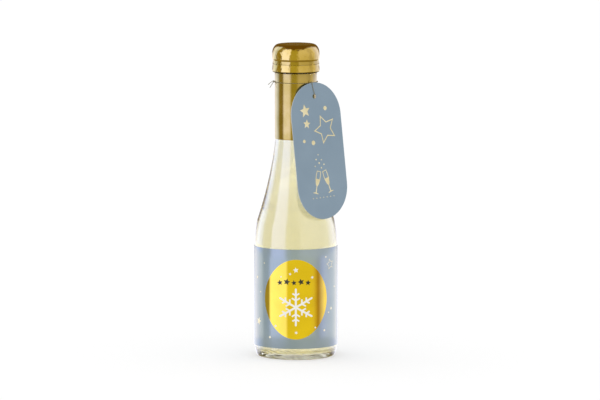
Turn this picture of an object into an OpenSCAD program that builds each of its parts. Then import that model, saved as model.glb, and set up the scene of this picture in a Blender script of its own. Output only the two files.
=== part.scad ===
// Small sparkling wine bottle of 200 ml: clear glass, gold screw cap with its tamper band,
// foil sleeve on the neck, wrapped label with a foil disc, and a card tag on a thin cord.
// Millimetres, +Z up. The origin is the middle of the ring that the bottle stands on,
// on that ring's plane. The label's disc faces -Y.

/* [Glass body] */
// Outside diameter of the glass body
body_d = 53.7; // [50:0.1:60]
// Thickness of the glass in the body wall
body_wall = 2.6; // [1.8:0.1:3.6]
// Height of the glass, from the standing ring to the rim
glass_h = 199.05; // [192:0.05:215]
// Height at which the body starts to draw in
body_top = 69.1; // [66:0.1:74]
// Height of the shoulder's sharpest bend above the body's top
shoulder_rise = 19.2; // [15:0.1:24]
// How far the outline has drawn in at that bend
shoulder_in = 2.0; // [1.2:0.1:3.5]

/* [Glass base] */
// Height over which the heel curves in
heel_h = 9.5; // [7:0.1:12]
// Radius of the heel's long curve
heel_r = 25; // [20:0.5:32]
// Radius of the small round under the heel
base_round = 2; // [1.4:0.1:3]
// Width of the flat ring that the bottle stands on
stand_w = 2.6; // [1.6:0.1:4]
// Depth of the hollow inside that ring, in the middle
punt_h = 5; // [3:0.1:9]
// Thickness of the glass in the base
base_t = 3.2; // [2.4:0.1:5]
// Radius inside the bottle where the wall meets the base
floor_round = 4; // [2.5:0.1:6]

/* [Glass neck] */
// Length of the straight neck, down from the rim
neck_l = 49.6; // [46:0.1:56]
// Thickness of the glass where the neck meets the shoulder
neck_wall = 3.45; // [2.8:0.05:3.8]
// Thickness of the glass at the mouth
mouth_wall = 3.6; // [3.5:0.05:4.4]
// Length of the straight bore below the rim
mouth_l = 22; // [18:0.5:26]
// Outside diameter of the glass between the turns of its thread
finish_d = 25.7; // [25:0.1:26]
// How much further out the neck's side lies under the sleeve
neck_step = 0.2; // [0:0.05:0.4]
// Outer rounding of the rim
rim_round = 1.2; // [0.6:0.1:1.6]
// Inner rounding of the rim
lip_round = 0.8; // [0.4:0.1:1.2]
// How far the ring that holds the tamper band stands out past the thread
ring_step = 0.5; // [0.3:0.05:0.6]
// Height of that ring
ring_h = 2; // [1.6:0.1:2.6]
// Distance from the rim down to that ring
ring_drop = 11.2; // [10.4:0.1:11.8]

/* [Thread] */
// Height of the thread ridges on the glass
thread_h = 0.95; // [0.7:0.05:1]
// Rise of the thread in one turn
thread_pitch = 3.175; // [2.8:0.025:3.4]
// Width of a thread ridge at its root
ridge_root = 1.7; // [1.3:0.1:1.7]
// Width of a thread ridge at its crest
ridge_crest = 0.8; // [0.5:0.1:0.9]
// Distance from the rim down to the middle of the thread's upper end
thread_drop = 2.6; // [2.2:0.1:3]
// Clearance between the thread of the glass and the thread of the cap
thread_gap = 0.3; // [0.2:0.05:0.4]

/* [Wine] */
// Distance from the rim down to the wine
headspace_h = 27; // [24:0.5:45]
// Clearance between the wine and the glass, so that the two solids stay apart
liquid_gap = 0.05; // [0.02:0.01:0.1]

/* [Cap] */
// Height of the cap's metal shell
cap_h = 12.35; // [11.8:0.05:12.5]
// Thickness of the thread insert's wall at the cap's waist
insert_wall = 0.65; // [0.5:0.05:1]
// How far the cap bulges out past its waist
cap_bulge = 0.4; // [0.2:0.05:0.8]
// Height over which the waist flares out to the cap's full width
bulge_h = 1.4; // [1:0.1:2]
// Height of the straight waist
waist_h = 1.3; // [0.8:0.1:1.8]
// How far the cap's lower edge flares out past its waist
skirt_flare = 0.08; // [0:0.02:0.16]
// Height of that flare
skirt_h = 0.6; // [0.4:0.05:1]
// Width of the cap's rounded top edge, measured inwards
edge_w = 4.3; // [2.4:0.1:4.8]
// Height of the cap's rounded top edge
edge_h = 6.8; // [3:0.1:7.4]
// Thickness of the metal of the cap and the tamper band
metal_t = 0.25; // [0.2:0.01:0.3]
// Clearance between the pieces inside the cap
cap_gap = 0.05; // [0.03:0.01:0.08]
// Thickness of the thread insert's top
insert_top_t = 1.05; // [0.9:0.05:1.4]
// Thickness of the sealing liner
liner_t = 0.9; // [0.7:0.05:1.4]
// How far the sealing liner ends inside the glass's outer side
liner_inset = 0.15; // [0.05:0.05:0.6]
// Clearance round the sealing liner
liner_gap = 0.2; // [0.1:0.05:0.3]
// How far the thread insert ends above the shell's lower edge
insert_lift = 0.2; // [0:0.05:0.5]

/* [Tamper band] */
// How far the tamper band's foot flares out past the cap's waist
band_flare = 0.45; // [0.2:0.05:0.8]
// Distance from the underside of the glass ring down to the band's foot
hook_drop = 2.35; // [1.6:0.05:2.8]
// Rounding of the foot of the tamper band
band_round = 1; // [0.6:0.1:1.3]
// How far the band's lip reaches in under the glass ring
hook_reach = 0.35; // [0.25:0.05:0.4]
// Height of the tear line between the cap and the band
tear_gap = 0.4; // [0.3:0.05:0.6]
// Clearance between the bridges in the tear line and the cap
bridge_gap = 0.1; // [0.05:0.05:0.15]
// Width of a bridge
bridge_w = 0.8; // [0.4:0.1:1.2]
// Number of bridges
bridges = 8; // [4:1:12]

/* [Neck sleeve] */
// Length of the foil sleeve
sleeve_l = 42.6; // [30:0.1:45]
// Thickness of the sleeve
sleeve_t = 0.25; // [0.1:0.01:0.3]
// Clearance between the sleeve's foot and the glass
sleeve_gap = 0.1; // [0.05:0.01:0.2]
// Distance between the tamper band and the sleeve
sleeve_drop = 0.4; // [0.3:0.05:0.8]

/* [Label] */
// How far the label reaches up past the body's top
label_over = 2.6; // [0:0.1:3.2]
// Height of the label's lower edge above the standing ring
label_z = 7.5; // [6:0.1:9]
// Thickness of the label
label_t = 0.1; // [0.08:0.01:0.2]
// Clearance between a label or foil and what it lies on
paper_gap = 0.05; // [0.02:0.01:0.08]
// Width of the bare glass between the label's two ends, at the back
label_seam = 26; // [2:0.5:36]
// Width of the foil disc, seen from the front
disc_w = 39.7; // [30:0.1:42]
// Distance from the label's lower edge up to the foil disc
disc_below = 6.1; // [4:0.1:12]
// Distance from the foil disc up to the label's upper edge
disc_above = 6.5; // [4:0.1:12]
// Thickness of the foil
foil_t = 0.05; // [0.04:0.01:0.08]

/* [Hang tag] */
// Width of the tag, whose two ends are full half circles
tag_w = 42.6; // [34:0.1:46]
// Length of the tag
tag_l = 87.8; // [70:0.1:92]
// Thickness of the tag's card
tag_t = 0.5; // [0.3:0.05:0.7]
// Diameter of the punched hole
hole_d = 3; // [2.6:0.1:4]
// Distance from the tag's top edge down to the hole's centre
hole_drop = 8.9; // [7:0.1:12]
// Sideways offset of the hole from the point where the cord crosses the tag's top
hole_shift = 1.3; // [0:0.1:2]
// Angle round the bottle from the label's middle to the tag
tag_turn = 42.2; // [0:0.1:90]
// Angle by which the tag hangs askew in its own plane
tag_askew = 1.3; // [0:0.1:3]
// Clearance between the tag and what it hangs against
tag_gap = 0.3; // [0.2:0.05:0.6]

/* [Cord] */
// Diameter of the cord
cord_d = 0.55; // [0.4:0.05:0.7]
// Clearance between the cord and what it lies on
cord_gap = 0.1; // [0.05:0.01:0.15]
// Distance from the sleeve's top edge down to the cord
cord_drop_z = 5.9; // [3:0.1:12]
// Slack of the cord over the tag's top edge
cord_slack = 0.6; // [0.5:0.05:0.9]
// Length of the knot's longer tail
tail_l = 5; // [3:0.1:8]
// Angle round the bottle from the label's middle to the knot
knot_turn = -88; // [-150:1:-60]

/* [Hidden] */
$fn = 96;
// Segments of a smooth outline and of an arc
curve_n = 14;
arc_n = 8;
// Sides of the cord's tubes, and steps of a thread in one turn
cord_sides = 8;
thread_steps = 24;
// Turns of the glass thread, of the cap's thread, and the turn at which the cap's thread starts
glass_turns = 1.5;
cap_turns = 1.15;
cap_thread_start = 0.65;
// Share of a turn over which a thread ridge fades in and out
fade_share = 0.1;
// How much further a cut or an overlap of one piece reaches
over = 0.3;
// Share of the band's thickness that its bridges have
bridge_share = 0.6;
// Shares that place the handles of the shoulder's curves and its steepest slope
body_handle_share = 0.44;
bend_handle_share = 0.093;
bend_slope_share = 0.32;
rise_handle_share = 0.282;
neck_handle_share = 0.326;
// Shares of the tail's length for the routes of the knot's two tails, from the knot's middle:
// outwards from the neck, sideways, and up
tail_a_shares = [[0.05, 0, 0.07], [0.2, 0.02, 0.02], [0.45, 0.06, -0.17], [0.72, 0.14, -0.4]];
tail_b_shares = [[0.05, 0.02, -0.05], [0.16, 0.1, -0.26], [0.32, 0.2, -0.5], [0.5, 0.32, -0.78]];
// Shares of the cord's diameter that make the knot: its wide turn, its narrow turn, its cord
knot_wide_share = 1.1;
knot_narrow_share = 0.55;
knot_cord_share = 0.8;
knot_steps = 48;

body_r = body_d / 2;
finish_r = finish_d / 2;
neck_r = finish_r + neck_step;
neck_bore_r = neck_r - neck_wall;
mouth_r = finish_r - mouth_wall;
thread_r = finish_r + thread_h;
ring_r = thread_r + ring_step;
neck_z = glass_h - neck_l;
bend_z = body_top + shoulder_rise;
bend_r = body_r - shoulder_in;
mouth_foot_z = glass_h - lip_round - mouth_l;
wine_z = glass_h - headspace_h;
liner_z = glass_h + cap_gap;
insert_top_z = liner_z + liner_t + cap_gap;
cap_top_z = insert_top_z + insert_top_t + cap_gap + metal_t;
cap_z = cap_top_z - cap_h;
band_top_z = cap_z - tear_gap;
ring_top_z = glass_h - ring_drop;
band_z = ring_top_z - ring_h - hook_drop;
sleeve_top_z = band_z - sleeve_drop;
sleeve_z = sleeve_top_z - sleeve_l;
cord_z = sleeve_top_z - cord_drop_z;
cap_thread_crest_r = finish_r + thread_gap;
insert_bore_r = thread_r + thread_gap;
waist_r = insert_bore_r + insert_wall + cap_gap + metal_t;
cap_r = waist_r + cap_bulge;
skirt_r = waist_r + skirt_flare;
band_r = waist_r + band_flare;
hook_r = ring_r - hook_reach;
bridge_t = metal_t * bridge_share;
liner_r = finish_r - liner_inset;
label_r = body_r + paper_gap;
label_h = body_top + label_over - label_z;
label_top_z = label_z + label_h;
disc_h = label_h - disc_below - disc_above;

// Curves
function bezier(a, b, c, d, n) = [
    for (i = [0 : n])
        let (t = i / n, s = 1 - t)
        s * s * s * a + 3 * s * s * t * b + 3 * s * t * t * c + t * t * t * d
];
function arc(centre, r, from, to, n) = [
    for (i = [0 : n])
        let (a = from + (to - from) * i / n)
        centre + r * [cos(a), sin(a)]
];
function ease(t) = (1 - cos(180 * t)) / 2;
function flare(r0, z0, r1, z1, n) = [
    for (i = [0 : n]) [r0 + (r1 - r0) * ease(i / n), z0 + (z1 - z0) * i / n]
];
// A shallow dome from the rim (r, z) to its top in the middle, h higher
function dome(r, z, h, n) =
    let (ball = (r * r + h * h) / (2 * h), reach = asin(r / ball))
    [for (i = [0 : n]) let (a = reach * (1 - i / n)) [ball * sin(a), z + h - ball * (1 - cos(a))]];
function flip(list) = [for (i = [len(list) - 1 : -1 : 0]) list[i]];
function swap(list) = [for (p = list) [p[1], p[0]]];

// Outline of the glass outside, from the body's top up to the straight neck
bend_handle = bend_handle_share * shoulder_rise;
rise_handle = rise_handle_share * (neck_z - bend_z);
shoulder_out = concat(
    bezier(
        [body_r, body_top],
        [body_r, body_top + body_handle_share * shoulder_rise],
        [bend_r + bend_slope_share * bend_handle, bend_z - bend_handle],
        [bend_r, bend_z], curve_n),
    [for (p = bezier(
        [bend_r, bend_z],
        [bend_r - bend_slope_share * rise_handle, bend_z + rise_handle],
        [neck_r, neck_z - neck_handle_share * (neck_z - bend_z)],
        [neck_r, neck_z], curve_n)) if (p[1] > bend_z) p]
);
function glass_r(z) = lookup(z, swap(shoulder_out));

// Outline of the hollow, which follows the outside at a wall that grows towards the neck
function wall_at(z) = body_wall + (neck_wall - body_wall) * (z - body_top) / (neck_z - body_top);
shoulder_inside = [for (p = shoulder_out) [p[0] - wall_at(p[1]), p[1]]];
cavity_r = body_r - body_wall;
function cavity(gap, top_z, top_r) = concat(
    flip(dome(cavity_r - floor_round, base_t + gap, punt_h, arc_n)),
    arc([cavity_r - floor_round, base_t + floor_round], floor_round - gap, -90, 0, arc_n),
    [for (p = shoulder_inside) [p[0] - gap, p[1]]],
    [[top_r - gap, top_z]]
);

// Outline of the glass below the body: the standing ring, the base's round and the heel
heel_centre_r = body_r - heel_r;
base_centre_r = heel_centre_r + sqrt(pow(heel_r - base_round, 2) - pow(heel_h - base_round, 2));
heel_meet = atan2(base_round - heel_h, base_centre_r - heel_centre_r);
heel = concat(
    arc([base_centre_r, base_round], base_round, -90, heel_meet, arc_n),
    arc([heel_centre_r, heel_h], heel_r, heel_meet, 0, arc_n)
);

ring_flank = (ring_r - finish_r) / 2;
finish = [
    [neck_r, ring_top_z - ring_h - ring_flank],
    [ring_r, ring_top_z - ring_h],
    [ring_r, ring_top_z - ring_flank],
    [finish_r, ring_top_z],
];

module glass_bottle() color("lightcyan", 0.4) union() {
    rotate_extrude() polygon(concat(
        flip(dome(base_centre_r - stand_w, 0, punt_h, arc_n)),
        heel,
        shoulder_out,
        finish,
        arc([finish_r - rim_round, glass_h - rim_round], rim_round, 0, 90, arc_n),
        arc([mouth_r + lip_round, glass_h - lip_round], lip_round, 90, 180, arc_n),
        [[mouth_r, mouth_foot_z]],
        flip(cavity(0, neck_z, neck_bore_r))
    ));
    ridge(glass_thread_foot, glass_turns, finish_r - over, thread_r, finish_r);
}

// A thread ridge: its section runs from a root inside the wall to a crest, and climbs in a
// right-hand helix. wall_r is the radius of the wall that carries it.
glass_thread_foot = glass_h - thread_drop - glass_turns * thread_pitch;
module ridge(foot_z, turns, root_r, crest_r, wall_r, start = 0) {
    n = round(turns * thread_steps);
    depth = crest_r - wall_r;
    rings = [
        for (i = [0 : n])
            let (
                t = i / thread_steps,
                full = min(1, t / fade_share + fade_share, (turns - t) / fade_share + fade_share),
                a = 360 * (t + start),
                z = foot_z + thread_pitch * t,
                tip_r = wall_r + depth * full,
                lower = [[root_r, -ridge_root], [tip_r, -ridge_crest]],
                upper = [[tip_r, ridge_crest], [root_r, ridge_root]]
            )
            [for (w = concat(lower, upper)) [w[0] * cos(a), w[0] * sin(a), z + w[1] / 2]]
    ];
    skin(depth < 0 ? rings : [for (r = rings) flip(r)]);
}

// A closed solid through a row of rings with as many points each
module skin(rings, closed = false) {
    m = len(rings[0]);
    n = len(rings);
    last = closed ? n - 1 : n - 2;
    sides = [
        for (i = [0 : last], j = [0 : m - 1])
            let (a = i * m + j, b = i * m + (j + 1) % m, up = ((i + 1) % n) * m - i * m)
            each [[a, b + up, b], [a, a + up, b + up]]
    ];
    caps = closed ? [] : [[for (j = [0 : m - 1]) j], [for (j = [m - 1 : -1 : 0]) (n - 1) * m + j]];
    polyhedron([for (r = rings) each r], concat(sides, caps), convexity = 6);
}

module wine() color("khaki", 0.7) rotate_extrude() {
    surface_r = lookup(wine_z, [[neck_z, neck_bore_r], [mouth_foot_z, mouth_r]]);
    polygon(concat(cavity(liquid_gap, wine_z, surface_r), [[0, wine_z]]));
}

// Outline of the cap from foot_z to the flat of its top, drawn in by d all over
waist_z = cap_z + skirt_h;
function cap_outline(d, foot_z) = concat(
    foot_z < waist_z ? flare(skirt_r - d, foot_z, waist_r - d, waist_z, arc_n) : [[waist_r - d, foot_z]],
    flare(waist_r - d, waist_z + waist_h, cap_r - d, waist_z + waist_h + bulge_h, arc_n),
    [for (a = [0 : 90 / arc_n : 90]) [
        cap_r - edge_w + (edge_w - d) * cos(a),
        cap_top_z - edge_h + (edge_h - d) * sin(a)
    ]]
);

module cap_shell() color("gold") rotate_extrude() polygon(concat(
    cap_outline(0, cap_z),
    [[0, cap_top_z], [0, cap_top_z - metal_t]],
    flip(cap_outline(metal_t, cap_z))
));

// The insert's foot lies above the shell's lower edge, and clear of the ring on the glass
insert_z = max(cap_z + insert_lift, ring_top_z + cap_gap);
insert_step_z = glass_h - rim_round / 2;
insert_seat_r = liner_r + liner_gap;
module thread_insert() color("white") union() {
    rotate_extrude() polygon(concat(
        cap_outline(metal_t + cap_gap, insert_z),
        [[0, cap_top_z - metal_t - cap_gap], [0, insert_top_z]],
        [[insert_seat_r, insert_top_z], [insert_seat_r, insert_step_z]],
        [[insert_bore_r, insert_step_z - insert_bore_r + insert_seat_r], [insert_bore_r, insert_z]]
    ));
    ridge(
        glass_thread_foot + thread_pitch * (cap_thread_start - 1 / 2), cap_turns,
        insert_bore_r + over, cap_thread_crest_r, insert_bore_r, cap_thread_start
    );
}

module sealing_liner() color("ivory")
    translate([0, 0, liner_z]) cylinder(h = liner_t, r = liner_r);

// Outline of the tamper band from its upper edge to the lip at its foot, drawn in by d all over
function band_outline(d) = concat(
    flare(skirt_r - d, band_top_z, band_r - d, band_z + band_round, arc_n),
    arc([band_r - band_round, band_z + band_round], band_round - d, 0, -90, arc_n),
    [[hook_r, band_z + d]]
);
module tamper_band() color("gold") union() {
    rotate_extrude() polygon(concat(band_outline(0), flip(band_outline(metal_t))));
    bridge_angle = 180 * bridge_w / (PI * skirt_r);
    for (i = [0 : bridges - 1])
        rotate(360 * i / bridges)
            rotate_extrude(angle = bridge_angle)
                translate([skirt_r - (metal_t + bridge_t) / 2, band_top_z - bridge_t])
                    square([bridge_t, bridge_t + tear_gap - bridge_gap]);
}

sleeve_r = glass_r(sleeve_z) + sleeve_gap;
module neck_sleeve() color("goldenrod") translate([0, 0, sleeve_z]) difference() {
    cylinder(h = sleeve_l, r = sleeve_r + sleeve_t);
    translate([0, 0, -over]) cylinder(h = sleeve_l + 2 * over, r = sleeve_r);
}

module body_label() color("lightsteelblue") translate([0, 0, label_z]) difference() {
    cylinder(h = label_h, r = label_r + label_t);
    translate([0, 0, -over]) cylinder(h = label_h + 2 * over, r = label_r);
    translate([-label_seam / 2, 0, -over]) cube([label_seam, body_d, label_h + 2 * over]);
}

disc_r = label_r + label_t + paper_gap;
module label_disc() color("gold") intersection() {
    translate([0, 0, label_z]) difference() {
        cylinder(h = label_h, r = disc_r + foil_t);
        translate([0, 0, -over]) cylinder(h = label_h + 2 * over, r = disc_r);
    }
    translate([0, 0, label_z + disc_below + disc_h / 2]) rotate([90, 0, 0]) linear_extrude(body_d)
        polygon([for (a = [0 : 5 : 355]) [disc_w / 2 * cos(a), disc_h / 2 * sin(a)]]);
}

// The cord lies round the sleeve. The tag's plane passes just outside it and leans out until
// the tag rests against the shoulder. touch_z lists the heights at which it could touch.
cord_r = sleeve_r + sleeve_t + cord_gap + cord_d / 2;
tag_out = cord_r + cord_d / 2 + tag_gap + tag_t / 2;
tag_top_z = cord_z + tag_gap;
tag_foot_z = tag_top_z - tag_l;
function outer_r(z) = z > label_top_z ? glass_r(z) : disc_r + foil_t;
touch_z = [
    tag_foot_z,
    for (z = concat([label_top_z], [for (p = shoulder_out) p[1]]))
        if (z > tag_foot_z && z < sleeve_z) z
];
tag_lean = max([
    for (z = touch_z) atan2(outer_r(z) + tag_gap + tag_t / 2 - tag_out, tag_top_z - z)
]);
hole_z = tag_top_z - hole_drop * cos(tag_lean);
hole_out = tag_out + hole_drop * sin(tag_lean);

// Places a child that is drawn round the hole's centre: the tag's face looks along -Y, and
// its length runs down -Z
module on_tag() rotate([0, 0, tag_turn]) translate([hole_shift, -hole_out, hole_z])
    rotate([-tag_lean, 0, 0]) rotate([0, -tag_askew, 0]) children();

module hang_tag() color("slategray") on_tag() rotate([90, 0, 0])
    translate([0, 0, -tag_t / 2]) linear_extrude(tag_t) difference() {
        end_r = tag_w / 2;
        upper = hole_drop - end_r;
        lower = hole_drop - tag_l + end_r;
        union() {
            translate([0, upper]) circle(r = end_r);
            translate([0, lower]) circle(r = end_r);
            translate([-end_r, lower]) square([tag_w, upper - lower]);
        }
        circle(d = hole_d);
    }

// Half the angle of the gap in the cord's ring where the knot sits
knot_reach = cord_d * (knot_wide_share + knot_narrow_share + knot_cord_share / 2) + cord_gap;
knot_gap = asin(knot_reach / cord_r);
module neck_cord() color("darkkhaki") translate([0, 0, cord_z])
    rotate(knot_turn - 90 + knot_gap) rotate_extrude(angle = 360 - 2 * knot_gap)
        translate([cord_r, 0]) circle(d = cord_d, $fn = 24);

function unit(v) = v / norm(v);
// Frames along a route: each normal is the last one, turned to stay square to the route
function carried(t, n, i = 0) = i == len(t) ? [] :
    let (m = unit(n - (n * t[i]) * t[i])) concat([m], carried(t, m, i + 1));
function ring(p, n, t, d) = [
    for (k = [0 : cord_sides - 1])
        let (a = 360 * k / cord_sides) p + d / 2 * (cos(a) * n + sin(a) * cross(t, n))
];
module tube(route, d, first_normal) {
    last = len(route) - 1;
    t = [for (i = [0 : last]) unit(route[min(i + 1, last)] - route[max(i - 1, 0)])];
    n = carried(t, first_normal);
    skin([for (i = [0 : last]) ring(route[i], n[i], t[i], d)]);
}

// The knot is a trefoil that lies flat against the sleeve, with two cut tails
knot_wide = cord_d * knot_wide_share;
knot_narrow = cord_d * knot_narrow_share;
knot_out = sleeve_r + sleeve_t + cord_gap + knot_narrow + cord_d * knot_cord_share / 2;
function knot_at(a) = [
    knot_narrow * sin(3 * a),
    (knot_wide + knot_narrow * cos(3 * a)) * cos(2 * a),
    (knot_wide + knot_narrow * cos(3 * a)) * sin(2 * a)
];
function knot_side(a) = [sin(3 * a), cos(3 * a) * cos(2 * a), cos(3 * a) * sin(2 * a)];
module cord_knot() color("darkkhaki") rotate(knot_turn - 90) translate([knot_out, 0, cord_z]) {
    step = 360 / knot_steps;
    skin(closed = true, rings = [
        for (i = [0 : knot_steps - 1])
            let (
                a = i * step,
                t = unit(knot_at(a + step) - knot_at(a - step)),
                n = knot_side(a),
                m = unit(n - (n * t) * t)
            )
            ring(knot_at(a), m, t, cord_d * knot_cord_share)
    ]);
    for (shares = [tail_a_shares, tail_b_shares]) tube(tail_l * shares, cord_d, [0, 1, 0]);
}

// The cord through the tag, drawn round the hole's centre in the tag's own plane. It starts
// over the tag's top, runs down the face to the hole's top, through it and up the back.
front_y = -(tag_t / 2 + cord_gap + cord_d / 2);
hole_top = hole_d / 2 - cord_gap - cord_d / 2;
cord_top = hole_drop + cord_slack + cord_d / 2;
tag_cord_route = [
    [-hole_shift, 0, cord_top],
    [-hole_shift, front_y * 3 / 4, cord_top - cord_d / 10],
    [-hole_shift, front_y, cord_top - cord_d / 2],
    [-hole_shift, front_y, hole_drop - cord_d],
    [-hole_shift / 2, front_y, hole_drop / 2],
    [0, front_y, hole_top + cord_d],
    [0, front_y * 3 / 4, hole_top + cord_d / 4],
    [0, 0, hole_top],
    [0, -front_y * 3 / 4, hole_top + cord_d / 4],
    [0, -front_y, hole_top + cord_d],
    [-hole_shift / 2, -front_y, hole_drop / 2],
    [-hole_shift, -front_y, hole_drop - 3 / 2 * cord_d],
];
module tag_cord() color("darkkhaki") on_tag() tube(tag_cord_route, cord_d, [1, 0, 0]);

glass_bottle();
wine();
cap_shell();
thread_insert();
sealing_liner();
tamper_band();
neck_sleeve();
body_label();
label_disc();
neck_cord();
cord_knot();
tag_cord();
hang_tag();
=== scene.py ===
"""A small bottle of sparkling wine: clear glass, gold cap, foil sleeve, label and hang tag.

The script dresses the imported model. Sizes in fields are in millimetres, as in the model's own
source, and meshes are written in metres. Angles are in degrees, counted round the bottle from
the label's middle, which faces -Y, towards +X.
"""

import logging
import math
from abc import ABC, abstractmethod
from collections.abc import Callable, Iterable, Sequence
from dataclasses import dataclass
from enum import Enum

import bmesh
import bpy
from mathutils import Matrix, Vector, noise
from mathutils.geometry import tessellate_polygon


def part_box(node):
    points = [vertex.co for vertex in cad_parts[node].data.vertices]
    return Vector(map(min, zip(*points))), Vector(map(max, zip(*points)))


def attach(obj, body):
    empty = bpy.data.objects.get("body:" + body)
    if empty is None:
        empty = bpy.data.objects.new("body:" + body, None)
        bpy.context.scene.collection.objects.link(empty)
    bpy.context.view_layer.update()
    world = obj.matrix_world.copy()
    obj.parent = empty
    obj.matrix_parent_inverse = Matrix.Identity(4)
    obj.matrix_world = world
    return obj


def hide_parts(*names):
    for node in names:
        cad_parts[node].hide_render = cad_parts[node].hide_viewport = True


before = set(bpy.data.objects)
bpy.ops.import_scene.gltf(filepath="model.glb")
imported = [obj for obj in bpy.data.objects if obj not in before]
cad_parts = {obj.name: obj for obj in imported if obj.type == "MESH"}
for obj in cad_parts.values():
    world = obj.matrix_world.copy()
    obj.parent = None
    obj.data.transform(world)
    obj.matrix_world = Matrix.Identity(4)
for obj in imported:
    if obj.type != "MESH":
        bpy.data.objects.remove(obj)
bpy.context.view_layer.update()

MM = 0.001
# With fewer bounces the light in the thick glass base is cut off, and the base turns black
BOUNCES = 64
# The part of the noise's range over which one tone passes into the other
CLOUD_SPAN = (0.3, 0.7)
# The angle from which an edge shows as a crease, in degrees
CREASE = 32.0
# How far a print reaches into what it is printed on, in millimetres
SINK = 0.01
# Lengths under this count as none, in millimetres
TINY = 1e-6

Pair = tuple[float, float]
Triple = tuple[float, float, float]
Profile = list[Pair]
Term = "Value | float | Sequence[float]"

log = logging.getLogger("bottle")


# Shader expressions


class Value:
    """A shader socket that takes part in Python expressions."""

    def __init__(self, nodes: "Nodes", socket: bpy.types.NodeSocket) -> None:
        """Wraps a socket.

        Args:
            nodes: The node tree that the socket is in.
            socket: An output socket.
        """
        self.nodes = nodes
        self.socket = socket

    def __add__(self, other: Term) -> "Value":
        """This value plus another term."""
        return self.nodes.combine("ADD", self, other)

    def __radd__(self, other: Term) -> "Value":
        """Another term plus this value."""
        return self.nodes.combine("ADD", other, self)

    def __rsub__(self, other: Term) -> "Value":
        """Another term minus this value."""
        return self.nodes.combine("SUBTRACT", other, self)

    def __mul__(self, other: Term) -> "Value":
        """This value times another term."""
        return self.nodes.combine("MULTIPLY", self, other)

    def __rmul__(self, other: Term) -> "Value":
        """Another term times this value."""
        return self.nodes.combine("MULTIPLY", other, self)

    def between(self, low: float, high: float) -> "Value":
        """Rises smoothly from 0 to 1 as this value goes from low to high."""
        values = {"Value": self, "From Min": low, "From Max": high}
        return self.nodes.add("ShaderNodeMapRange", {"interpolation_type": "SMOOTHSTEP"}, values)


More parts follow.
